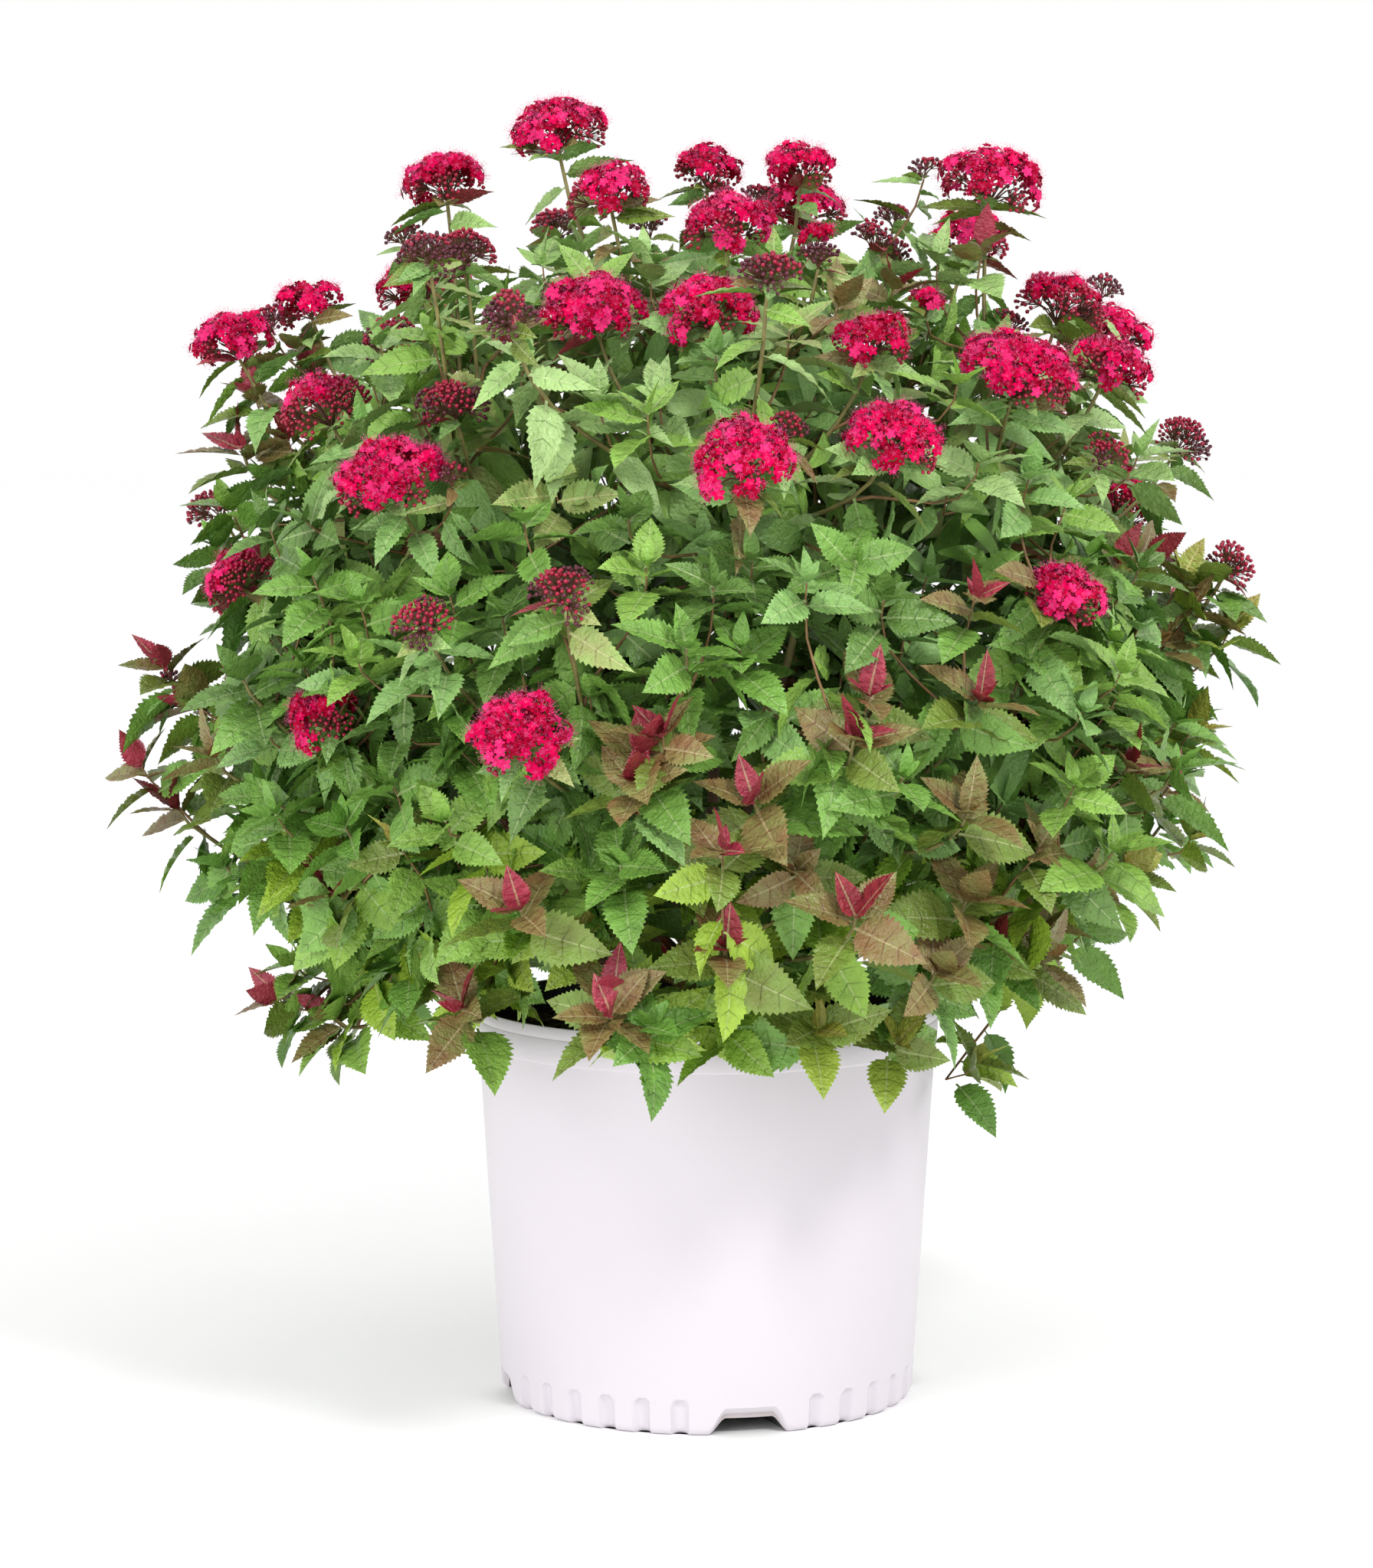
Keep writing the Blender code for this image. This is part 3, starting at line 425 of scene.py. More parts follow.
def fine_tips(main):
    """The tips of the finer side shoots, spread evenly between the main ones."""
    listed, tips = main + listed_tips(FINE_HEADS, FINE_TUFTS), []
    rng = random.Random(SEED)
    middle = Vector((0.0, 0.0, CROWN_MIDDLE))
    for k in range(FINE_TIPS):
        place = on_dome((k + 0.5) / FINE_TIPS, k * GOLDEN_TURN)
        deep = inset(place) + rng.uniform(0.0, INSET_SPREAD)
        place -= (place - middle).normalized() * deep
        young = choice(FINE_CHOICE, rng.randrange(60)) if place.z < GREEN_ABOVE else "green"
        if all((place - other.place).length > kept_free(other) for other in listed + tips):
            tips.append(Tip(place, young=young))
    inner = []
    for k in range(INNER_TIPS):
        place = on_dome((k + 0.5) / INNER_TIPS, k * GOLDEN_TURN)
        place -= (place - middle).normalized() * (inset(place) + rng.uniform(*INNER_DEPTHS))
        closed = place.z < OPEN_ABOVE or math.hypot(place.x, place.y) < CORE_RADIUS
        if closed and all((place - other.place).length > INNER_SPACING for other in inner):
            inner.append(Tip(place))
    return listed[len(main) :] + tips + inner


def kept_free(tip):
    """How far from another tip the finer ones stay."""
    if tip.width:
        return HEAD_SPACING
    return FINE_SPACING if tip.young == "green" else TUFT_SPACING


def toward(rise, turn):
    rise, turn = math.radians(rise), math.radians(turn)
    flat = math.cos(rise)
    return Vector((flat * math.sin(turn), -flat * math.cos(turn), math.sin(rise)))


def nearest(way, ways):
    return max(range(len(ways)), key=lambda k: way.dot(ways[k]))


def mass_ways(tips):
    names, ways = [], []
    for name, rise, count, first in TIERS:
        for k in range(count):
            names.append(f"{name}_{k + 1}" if count > 1 else name)
            ways.append(toward(rise, first + 360 / count * k))
    for _ in range(SETTLE_ROUNDS):
        sums = [way * 0.001 for way in ways]
        for tip in tips:
            way = (tip.place - HEART).normalized()
            sums[nearest(way, ways)] += way
        ways = [total.normalized() for total in sums]
    return names, ways


class Wedge:
    """The part of the crown that one mass keeps to, whose way from the heart is the nearest."""

    def __init__(self, own, ways):
        self.way = ways[own]
        self.walls = [
            (ways[own] - other).normalized() for k, other in enumerate(ways) if k != own
        ]

    def room(self, place):
        return min((place - HEART).dot(wall) for wall in self.walls)

    def pull_in(self, place, radius):
        for _ in range(40):
            short = radius + EDGE_CLEARANCE - self.room(place)
            if short <= 0:
                break
            wall = min(self.walls, key=lambda w: (place - HEART).dot(w))
            place = place + wall * (short + 1e-4)
        return place


def bezier(points, share):
    a, b, c, d = points
    left = 1 - share
    return a * left**3 + b * 3 * left**2 * share + c * 3 * left * share**2 + d * share**3


def bezier_way(points, share):
    step = 0.01
    ahead, behind = min(1.0, share + step), max(0.0, share - step)
    return (bezier(points, ahead) - bezier(points, behind)).normalized()


def tip_way(place):
    out = Vector((place.x, place.y, 0.0))
    high = (place.z - MIX_TOP) / (CROWN_MIDDLE + CROWN_RISE - MIX_TOP)
    lean = LEAN_AT_FOOT + (LEAN_AT_TOP - LEAN_AT_FOOT) * min(1.0, max(0.0, high)) ** 0.8
    lean = math.radians(lean * min(1.0, out.length / (0.6 * CROWN_REACH)))
    return Vector((0, 0, math.cos(lean))) + out.normalized() * math.sin(lean)


def wall_radius(height):
    return FOOT_RADIUS + (RIM_RADIUS - FOOT_RADIUS) * height / POT_HEIGHT


def clear_of_pot(place, margin):
    flat = math.hypot(place.x, place.y)
    if place.z > POT_HEIGHT + margin:
        return True
    return flat > RIM_RADIUS + margin


def over_the_rim(way):
    least = math.sin(math.radians(RIM_CLEAR_RISE))
    if way.z >= least:
        return way.copy()
    flat = Vector((way.x, way.y, 0.0)).normalized()
    return flat * math.sqrt(1 - least * least) + Vector((0.0, 0.0, least))


def bough_points(way, reach, parts=BOUGH_PARTS):
    start = HEART + way * (TRUNK_RADIUS + CLEARANCE)
    end = HEART + way * reach * BOUGH_SHARE
    upward = (Vector((0, 0, 1)) - way * way.z) * (end - start).length * BOUGH_BOW
    steps = [k / parts for k in range(parts + 1)]
    return [start.lerp(end, share) + upward * math.sin(math.pi * share) for share in steps]


def mass_stem(bough, way, reach):
    bough_way = (bough[-1] - bough[-2]).normalized()
    foot = bough[-1] + bough_way * CLEARANCE
    return foot, foot + bough_way * STEM_RUN_IN, HEART + way * reach * STEM_SHARE


def shoot_place(tip, wedge):
    if tip.width:
        return wedge.pull_in(tip.place, tip.width / 2)
    return wedge.pull_in(tip.place - tip_way(tip.place) * TUFT_BACK, TUFT_ROOM)


def shoot_curve(fork, stem_way, place, wedge):
    run = (place - fork).length
    bent = (fork, fork + stem_way * run * 0.38, place - tip_way(place) * run * 0.42, place)
    straight = (fork, fork.lerp(place, 0.33), fork.lerp(place, 0.67), place)
    inside = all(
        wedge.room(bezier(bent, share)) > 0.003 and clear_of_pot(bezier(bent, share), 0.004)
        for share in (0.2, 0.35, 0.5, 0.65, 0.8, 0.9)
    )
    return bent if inside else straight


def leaf_places(width):
    if width == 0.0:
        return TUFT_LEAVES
    return BUD_LEAVES if width < SMALL_HEAD else HEAD_LEAVES


class Growth:
    """Everything that grows, gathered before it is made into joined meshes."""

    def __init__(self):
        self.leaves = {}  # tint: rows of numbers, one for each leaf
        self.coarse_leaves = {}
        self.wood = {"stems": [], "twigs": [], "stalks": []}
        self.florets = {"deep": [], "bright": [], "pink": []}
        self.buds = {"red": [], "dark": []}
        self.heads = np.zeros((0, 4))

    def keep_clear_of(self, tips):
        """Takes the flower heads that leaves have to stay out of."""
        self.heads = np.array([(*tip.place, tip.width) for tip in tips if tip.width])

    def in_head(self, place):
        """Whether a place is in a flower head or just around it, so that leaves don't hide it."""
        off, width = np.array(place) - self.heads[:, :3], self.heads[:, 3]
        flat = np.hypot(off[:, 0], off[:, 1]) < HEAD_ROOM * width
        under, over = off[:, 2] > -HEAD_ROOM_DOWN * width, off[:, 2] < HEAD_ROOM_UP * width
        return (flat & under & over).any()

    def leaf(self, tint, root, way, face, length, width, droop, fold, twist, point, roll=0.0):
        """One leaf, unless the pot or a head is in its way. Point is how drawn out its tip is."""
        way = way.normalized()
        face = Matrix.Rotation(roll, 3, way) @ face
        tip = root + way * length * math.cos(droop / 2) - face * length * math.sin(droop / 2)
        middle = root.lerp(tip, 0.5)
        if not (clear_of_pot(tip, POT_MARGIN) and clear_of_pot(middle, POT_MARGIN)):
            return
        if self.in_head(tip) or self.in_head(middle):
            return
        coarse = length < SHORT_LEAF or inside_by(middle) > DEEP_LEAF
        rows = self.coarse_leaves if coarse else self.leaves
        foot = root + way * PETIOLE * length
        row = (*foot, *way, *face, length, width, droop, fold, twist, point)
        rows.setdefault(tint, []).append(row)


def leaf_face(stem, place):
    """The way a leaf's upper side looks: out of the crown, to the sky and to the shoot's tip."""
    around = Vector((place.x, place.y, 0.0)).normalized()
    return stem * FACE_ALONG + Vector((0.0, 0.0, FACE_UP)) + around * FACE_OUT


def zone_of(place):
    if place.z > TOP_ZONE:
        return "top"
    return "mid" if place.z > MIDDLE_ZONE else "low"


def broadness(height):
    """A leaf's width as a share of its length: broad low on the plant, narrow on top."""
    return BROADEST - NARROWING * highness(height)


def highness(height):
    return min(1.0, max(0.0, (height - HIGH_FROM) / HIGH_RUN))


def leaf_length(height, fine):
    return (LEAF_LENGTH + HIGH_LENGTH * highness(height)) * (FINE_LEAF if fine else 1.0)


def grow_rosette(growth, root, axis, tip, rng, scale):
    """The young leaves at a leafy shoot's tip, in a spiral from its middle out."""
    tints = dict(zip(YOUNG_PLACES, YOUNG_TINTS[tip.young]))
    side = axis.orthogonal().normalized()
    turn = rng.uniform(0, TURN)
    spray = choice(ZONE_TINTS[zone_of(root)], rng.randrange(60))
    for k, (spot, length, spread, droop, broad) in enumerate(ROSETTE):
        tint = tints.get(spot)
        if spot == "upright" and tint is None:
            length *= GREEN_UPRIGHT
        turn += GOLDEN_TURN + rng.uniform(-0.2, 0.2)
        out = Matrix.Rotation(turn, 3, axis) @ side
        spread = math.radians(spread + rng.uniform(-7, 7))
        way = axis * math.cos(spread) + out * math.sin(spread)
        face = (axis - way * axis.dot(way)).normalized()
        length *= scale * rng.uniform(0.88, 1.14)
        width = length * broad * (0.7 + 0.3 * broadness(root.z) / BROADEST)
        base = root - axis * 0.0035 * max(0, k - 3)
        fold, twist = rng.uniform(0.14, 0.36), rng.uniform(-0.2, 0.2)
        roll = rng.uniform(-0.4, 0.4) * (2.2 if k > 4 else 1.0)
        growth.leaf(
            tint or spray, base, way, face, length, width, droop, fold, twist, 1.2, roll
        )


def grow_bracts(growth, root, stem, tip, rng):
    """The small leaves that stand out right under a flower head."""
    side = stem.orthogonal().normalized()
    turn = rng.uniform(0, TURN)
    for _ in range(BRACTS if tip.width > SMALL_HEAD else 2):
        turn += GOLDEN_TURN + rng.uniform(-0.3, 0.3)
        out = Matrix.Rotation(turn, 3, stem) @ side
        spread = math.radians(rng.uniform(68, 94))
        way = stem * math.cos(spread) + out * math.sin(spread)
        face = (stem - way * stem.dot(way)).normalized()
        length = (0.012 + 0.38 * tip.width) * rng.uniform(0.85, 1.2)
        tint, width = rng.choice(BRACT_TINTS), length * rng.uniform(0.34, 0.44)
        droop, fold = rng.uniform(0.2, 0.6), rng.uniform(0.12, 0.42)
        twist, roll = rng.uniform(-0.4, 0.4), rng.uniform(-0.9, 0.9)
        growth.leaf(tint, root, way, face, length, width, droop, fold, twist, 1.3, roll)


def grow_leaves(growth, curve, end, tip, rng, sizes, fine):
    """The grown leaves along one shoot, from its end back to its bare part."""
    run = (curve[-1] - curve[0]).length * end
    leafy = run * (0.8 if fine else 0.85)
    if curve[-1].z > OPEN_ABOVE:
        leafy = min(leafy, LEAFY_RUN)
    longest = leaf_length(curve[-1].z, fine) * (0.8 if 0 < tip.width < SMALL_HEAD else 1.0)
    spacing = LEAF_SPACING[0] + (LEAF_SPACING[1] - LEAF_SPACING[0]) * highness(curve[-1].z)
    turn = rng.uniform(0, TURN)
    spray = choice(ZONE_TINTS[zone_of(curve[-1])], rng.randrange(60))
    back, k = (0.003 if tip.width else 0.030), 0
    while back < leafy:
        share = end * (1 - back / run)
        root, stem = bezier(curve, share), bezier_way(curve, share)
        turn += GOLDEN_TURN + rng.uniform(-0.3, 0.3)
        out = Matrix.Rotation(turn, 3, stem) @ stem.orthogonal().normalized()
        grown = min(1.0, (back + 0.010) / 0.055)
        least = 0.64 if tip.width else 0.56
        length = longest * (least + (1 - least) * grown) * choice(sizes, k)
        length *= rng.uniform(0.86, 1.08)
        spread = math.radians(56 + 52 * grown + rng.uniform(-12, 12))
        if tip.width and back < COLLAR:
            spread = math.radians(rng.uniform(66, 100))
        way = (stem * math.cos(spread) + out * math.sin(spread) + SINK * grown).normalized()
        face = leaf_face(stem, root)
        face = (face - way * face.dot(way)).normalized()
        broad = broadness(root.z) * rng.uniform(0.9, 1.1)
        droop = rng.uniform(0.12, 0.45) + 0.35 * grown
        deep = inside_by(root + way * length * 0.5)
        tint = spray
        # Leaves deep inside the lower crown take the deep and dark tints: painted shade. A few of
        # them are dead.
        if deep > SHADED_LEAF and root.z < OPEN_ABOVE:
            tint = "deep" if deep < DARK_LEAF else "dark"
            if rng.random() < DEAD_SHARE:
                tint = "dead"
        elif k % 5 == 4:
            tint = choice(ZONE_TINTS[zone_of(root)], rng.randrange(60))
        elif tip.width and back < COLLAR and rng.random() < 0.5:
            tint = rng.choice(COLLAR_TINTS)
        fold, twist = rng.uniform(0.12, 0.42), rng.uniform(-0.4, 0.4)
        point = rng.uniform(1.15, 1.5) + 0.2 * highness(root.z)
        roll = rng.choice((-1, 1)) * rng.uniform(0.25, 1.25) * (1 - 0.4 * highness(root.z))
        growth.leaf(
            tint, root, way, face, length, length * broad, droop, fold, twist, point, roll
        )
        back += spacing * rng.uniform(0.8, 1.2) * (0.4 + 0.6 * grown)
        k += 1


def dome_rise(out, radius, width):
    """How high over a head's middle its dome stands at a distance from its axis."""
    share = min(1.0, out / radius)
    return width * (1.05 * HEAD_DOME * (1 - share * share) ** 0.8 - 0.75 * HEAD_SAG)


def grow_head(growth, middle, way, tip, rng):
    """A domed head of clusters of florets or of buds, on stalks that fan out from the shoot."""
    width, radius = tip.width, tip.width / 2
    cluster = min(CLUSTER_RADIUS, radius * 0.55)
    count = max(2, round(HEAD_FULLNESS * (radius / cluster) ** 2))
    basis = way.to_track_quat("Z", "Y").to_matrix()
    base = middle - way * width * HEAD_BASE
    first = rng.uniform(0, TURN)
    lobes = [rng.uniform(-1, 1) for _ in range(HEAD_LOBES)]
    spots = []
    for k in range(count):
        out = (radius - cluster * 0.4) * math.sqrt((k + 0.4) / count) * rng.uniform(0.9, 1.06)
        spots.append((out, first + k * GOLDEN_TURN, dome_rise(out, radius, width) + 0.05 * width))
    rim = round(RIM_CLUSTERS * count) if width > SMALL_HEAD else 0
    for k in range(rim):
        out = (radius - cluster * 0.4) * rng.uniform(0.84, 1.0)
        turn = first + (k + 0.5) * TURN / rim
        spots.append((out, turn, -width * rng.uniform(-0.02, 0.06)))
    for k, (out, turn, rise) in enumerate(spots):
        share = out / radius
        lobe = lobes[int(turn / TURN * HEAD_LOBES) % HEAD_LOBES] * share
        rise += width * 0.08 * lobe + rng.uniform(-0.0035, 0.002)
        flat = Vector((math.cos(turn), math.sin(turn), 0.0))
        place = middle + basis @ (flat * out + Vector((0, 0, rise)))
        normal = basis @ (flat * share * 0.95 + Vector((0, 0, 1.05 - 0.45 * share))).normalized()
        state = tip.openness - share * share * rng.uniform(0.22, 0.62)
        state = state + rng.uniform(-0.08, 0.08) + 0.22 * lobe
        if k >= count:
            normal = basis @ (flat * 0.95 + Vector((0, 0, 0.2))).normalized()
            state = min(state, 0.35 if rng.random() < 1.25 - 0.9 * tip.openness else 1.0)
        size = cluster * rng.uniform(0.88, 1.15)
        foot = place - normal * size * 0.8
        bend = base.lerp(foot, 0.55) + way * 0.12 * (foot - base).length
        growth.wood["stalks"].append(((base, bend, foot), STALK_RADII))
        if state > FLORETS_ABOVE:
            tint = rng.choice(("deep", "bright", "bright", "pink"))
            grow_florets(growth, place, normal, size, tint, rng)
        else:
            grow_buds(growth, place, foot, normal, size, state, rng)


def cap_places(place, normal, size, count, rng):
    """Places spread evenly over a small cap, each with its own way out."""
    basis = normal.to_track_quat("Z", "Y").to_matrix()
    first = rng.uniform(0, TURN)
    for k in range(count):
        share = math.sqrt((k + 0.5) / count)
        turn = first + k * GOLDEN_TURN
        flat = Vector((math.cos(turn), math.sin(turn), 0.0))
        rise = 0.5 * (1 - share * share) + rng.uniform(-0.08, 0.08)
        yield (
            place + basis @ (flat * share + Vector((0, 0, rise))) * size,
            basis @ (flat * share * 0.9 + Vector((0, 0, 1.0 - 0.3 * share))).normalized(),
            share,
        )


def grow_florets(growth, place, normal, size, tint, rng):
    count = max(4, round(FLORETS * (size / CLUSTER_RADIUS) ** 2))
    for spot, way, share in cap_places(place, normal, size, count, rng):
        if share > 0.7 and rng.random() < 0.33:
            growth.buds["red"].append((*spot, *way, rng.uniform(*BUD_RADII)))
            continue
        radius = FLORET_RADIUS * rng.uniform(0.8, 1.12)
        lift = rng.uniform(-0.0022, 0.0012)
        shade = tint if rng.random() < 0.6 else rng.choice(("deep", "bright", "pink"))
        # The florets sunk lowest take the deep tint: painted shade in the gaps between florets.
        if lift < -0.0012:
            shade = "deep"
        jitter = Vector((rng.uniform(-1, 1), rng.uniform(-1, 1), rng.uniform(-1, 1))) * 0.4
        spin = rng.uniform(0, TURN)
        growth.florets[shade].append((*(spot + way * lift), *(way + jitter), radius, spin))


def grow_buds(growth, place, foot, normal, size, state, rng):
    count = max(5, round(BUDS * (size / CLUSTER_RADIUS) ** 2))
    for spot, way, _ in cap_places(place, normal, size, count, rng):
        tone = "red" if state + rng.uniform(-0.12, 0.12) > 0.0 else "dark"
        growth.buds[tone].append((*spot, *way, rng.uniform(*BUD_RADII)))
        growth.wood["stalks"].append(((foot, spot), HAIR_RADII))


def wood_along(curve, end, radii, parts):
    """Points and radii along a shoot up to its end."""
    points = [bezier(curve, end * k / parts) for k in range(parts + 1)]
    start, middle, last = radii
    sizes = []
    for k in range(parts + 1):
        share = k / parts
        if share < 0.5:
            sizes.append(start + (middle - start) * share * 2)
        else:
            sizes.append(middle + (last - middle) * (share * 2 - 1))
    return points, sizes


def grow_shoot(growth, curve, tip, rng, sizes, radii, kind):
    """The wood, leaves and flower head of one shoot."""
    run = (curve[-1] - curve[0]).length
    fine = kind == "twigs"
    end = 1.0
    if tip.width:
        end = max(0.5, 1 - tip.width * HEAD_BASE / run)
        around = Vector((curve[-1].x, curve[-1].y, 0.0)) / CROWN_REACH
        way = (bezier_way(curve, 1.0) + around * 0.15 + HEAD_LIFT).normalized()
        grow_head(growth, curve[-1], way, tip, rng)
        grow_bracts(growth, bezier(curve, end), bezier_way(curve, end), tip, rng)
    growth.wood[kind].append(wood_along(curve, end, radii, 5 if fine else 9))
    if tip.width == 0.0:
        axis = (bezier_way(curve, 1.0) + Vector((0, 0, 0.5))).normalized()
        heart = curve[-1] + axis * RUN_ON
        growth.wood[kind].append(((curve[-1], heart), (radii[-1], radii[-1] * 0.8)))
        grow_rosette(growth, heart, axis, tip, rng, rng.uniform(0.85, 1.0) if fine else 1.08)
    grow_leaves(growth, curve, end, tip, rng, sizes, fine)


def source_draws(rng, curve, width):
    """Draws as the source does for the leaves of a shoot, so that its forks come out the same."""
    run = (curve[-1] - curve[0]).length
    rng.uniform(0, TURN)
    sizes = [rng.uniform(0.9, 1.1) for back in leaf_places(width) if 1 - back / run >= 0.15]
    return sizes or [1.0]


def grow_mass(growth, name, wedge, tips, finer):
    rng = random.Random(f"{SEED} {name}")
    fine_rng = random.Random(f"fine {SEED} {name}")
    reach = sum((tip.place - HEART).length for tip in tips) / len(tips)
    way = over_the_rim(wedge.way)
    bough = bough_points(way, reach)
    foot, run_in, head = mass_stem(bough, way, reach)
    growth.wood["stems"].append(((foot, run_in, head), (STEM_BASE, STEM_BASE, STEM_TIP)))
    shoots = []
    for tip in tips:
        place = shoot_place(tip, wedge)
        curve = shoot_curve(foot.lerp(head, rng.uniform(*FORKS)), way, place, wedge)
        sizes = source_draws(rng, curve, tip.width)
        grow_shoot(growth, curve, tip, fine_rng, sizes, TWIG_RADII, "stems")
        shoots.append((curve, sizes))
    for tip in finer:
        if tip.width:
            place = shoot_place(tip, wedge)
        else:
            place = tip.place - tip_way(tip.place) * TUFT_BACK * FINE_BACK
        curve, sizes, share = nearest_shoot(shoots, place)
        fork, stem_way = bezier(curve, share), bezier_way(curve, share)
        if (place - fork).length > LEAST_SIDE_RUN:
            side = shoot_curve(fork, stem_way, place, wedge)
            grow_shoot(growth, side, tip, fine_rng, sizes, FINE_RADII, "twigs")
    return way, reach


def nearest_shoot(shoots, place):
    """The shoot that a finer one forks from, and where: a little back from its nearest point."""
    best = None
    for curve, sizes in shoots:
        for share in (0.25, 0.4, 0.55, 0.7, 0.85):
            spot = bezier(curve, share)
            gap = (place - spot).length
            lean = bezier_way(curve, share).dot((place - spot).normalized())
            cost = abs(gap - SIDE_RUN) + 0.05 * (1 - lean)
            if best is None or cost < best[0]:
                best = (cost, curve, sizes, share)
    return best[1:]


def faces_of_quads(quads):
    quads = np.asarray(quads)
    return np.concatenate([quads[:, [0, 1, 2]], quads[:, [0, 2, 3]]])


def raked(along):
    """Where the side vein that leaves the midrib at a place meets the edge."""
    return along + VEIN_RAKE * 4 * along * (1 - along)


def layout(rows, faces):
    """The columns of rows of numbers, and the faces between them."""
    return (*np.array(rows, float).T, np.array(faces))


def leaf_layout():
    """A leaf's flat layout: how far along and across each point is, its relief, and its faces.

    Each field between two side veins swells up in its middle and has a few teeth at its edge.
    """
    rows, faces = [], []

    def point(along, across, relief):
        rows.append((along, across, relief))
        return len(rows) - 1

    ribs = [point(k / LEAF_FIELDS, 0.0, 0.0) for k in range(LEAF_FIELDS + 1)]
    for side in (-1, 1):
        last = ribs[0]
        for k in range(LEAF_FIELDS):
            loop = [ribs[k], last]
            for tooth in range(FIELD_TEETH):
                low, high = ((k + (tooth + j) / FIELD_TEETH) / LEAF_FIELDS for j in (0, 1))
                wave = math.sin(math.pi * (tooth + 1) / FIELD_TEETH) * 0.5 - 0.3
                loop.append(point(raked(low + 0.82 * (high - low)), side * (1 + TOOTH), wave))
                loop.append(point(raked(high), side * 1.0, wave) if high < 0.999 else ribs[-1])
            last = loop[-1]
            loop.append(ribs[k + 1])
            field = (k + 0.5) / LEAF_FIELDS
            middle = point((field + raked(field)) / 2, side * 0.55, 1.0)
            for a, b in zip(loop, loop[1:] + loop[:1]):
                if a != b:
                    faces.append((a, b, middle) if side < 0 else (b, a, middle))
    return layout(rows, faces)


def coarse_layout():
    rows, faces = [], []
    for k in range(COARSE_STEPS + 1):
        rows += [(k / COARSE_STEPS, across, 0.0) for across in (-1.0, 0.0, 1.0)]
    for k in range(COARSE_STEPS):
        for side in (0, 1):
            a, b = 3 * k + side, 3 * k + side + 1
            faces += [(b, b + 3, a), (b + 3, a + 3, a)]
    return layout(rows, faces)


def rib_layouts():
    """The midrib with its petiole, and then the side veins, just over a leaf's surface.

    A point is so far along, at a share of the half width there, and moved aside and on by a
    share of the rib's own half width.
    """
    rows, faces = [], []
    stops = (-PETIOLE, 0.0, 0.25, 0.5, 0.75, 0.95)
    for k, along in enumerate(stops):
        thick = 1.25 - along
        rows += [(along, along, 0.0, -thick, 0.0), (along, along, 0.0, thick, 0.0)]
        if k:
            a = 2 * k - 2
            faces += [(a, a + 1, a + 3), (a, a + 3, a + 2)]
    midrib = layout(rows, faces)
    rows, faces = [], []
    for side in (-1, 1):
        for k in range(1, LEAF_FIELDS):
            foot, start = k / LEAF_FIELDS, len(rows)
            end = foot + (raked(foot) - foot) * VEIN_REACH
            rows += [(foot, foot, 0.0, 0.0, -1.0), (foot, foot, 0.0, 0.0, 1.0)]
            rows.append((end, raked(foot), side * VEIN_REACH, 0.0, 0.0))
            second, third = (start + 2, start + 1) if side > 0 else (start + 1, start + 2)
            faces.append((start, second, third))
    return midrib, layout(rows, faces)


def unit(rows):
    return rows / np.maximum(np.linalg.norm(rows, axis=-1, keepdims=True), 1e-9)


class LeafShapes:
    """Bends flat layouts into the leaves that rows of numbers ask for."""

    def __init__(self, rows):
        rows = np.array(rows, float)
        self.root, self.way, face = rows[:, 0:3], unit(rows[:, 3:6]), rows[:, 6:9]
        self.side = unit(np.cross(face, self.way))
        self.up = np.cross(self.way, self.side)
        self.length, self.width, droop, self.fold, self.twist, self.point = (
            rows[:, k : k + 1] for k in range(9, 15)
        )
        self.droop = np.where(np.abs(droop) < 0.02, 0.02, droop)

    def half_width(self, along):
        """The outline: round at its foot, widest before its middle, drawn out at its tip."""
        blunt = 0.62
        widest = blunt / (blunt + self.point)
        peak = widest**blunt * (1 - widest) ** self.point
        along = np.clip(along, 0.0, 1.0)
        shape = along**blunt * (1 - along) ** self.point / peak
        return self.width / 2 * shape

    def bend(self, along, sideways, lift):
        """Points at shares along the leaf, moved sideways and off its surface, in metres."""
        angle = self.droop * along
        forward = np.sin(angle) / self.droop * self.length
        down = (1 - np.cos(angle)) / self.droop * self.length
        turn = self.twist * along
        cos_turn, sin_turn = np.cos(turn)[..., None], np.sin(turn)[..., None]
        normal = self.up[:, None] * np.cos(angle)[..., None]
        normal = normal + self.way[:, None] * np.sin(angle)[..., None]
        side = self.side[:, None] * cos_turn + normal * sin_turn
        normal = normal * cos_turn - self.side[:, None] * sin_turn
        spine = self.root[:, None] + self.way[:, None] * forward[..., None]
        spine = spine - self.up[:, None] * down[..., None]
        return spine + side * sideways[..., None] + normal * lift[..., None]

    def blades(self, layout):
        along, across, relief, faces = layout
        half = self.half_width(along)
        sideways = half * across * np.cos(self.fold)
        lift = half * np.abs(across) * np.sin(self.fold) + self.swell(half) * relief
        return joined(self.bend(along + 0 * half, sideways, lift), faces)

    def swell(self, half):
        return SWELL * self.length * np.minimum(1.0, half / (self.width / 2) * 1.3)

    def ribs(self, layout):
        along, at, across, aside, on, faces = layout
        half = self.half_width(at) * across
        sideways = half * np.cos(self.fold) + RIB_HALF_WIDTH * aside
        lift = np.abs(half) * np.sin(self.fold) + np.abs(RIB_HALF_WIDTH * aside) * np.sin(self.fold)
        lift = lift - 0.3 * self.swell(np.abs(half)) * np.abs(across) + RIB_LIFT
        return joined(self.bend(along + on * VEIN_HALF_WIDTH / self.length, sideways, lift), faces)


def joined(points, faces):
    """Copies of one set of faces, for (copies, points, 3) places, as one mesh's arrays."""
    copies, count, _ = points.shape
    offsets = np.arange(copies)[:, None, None] * count
    return points.reshape(-1, 3), (faces[None] + offsets).reshape(-1, 3)


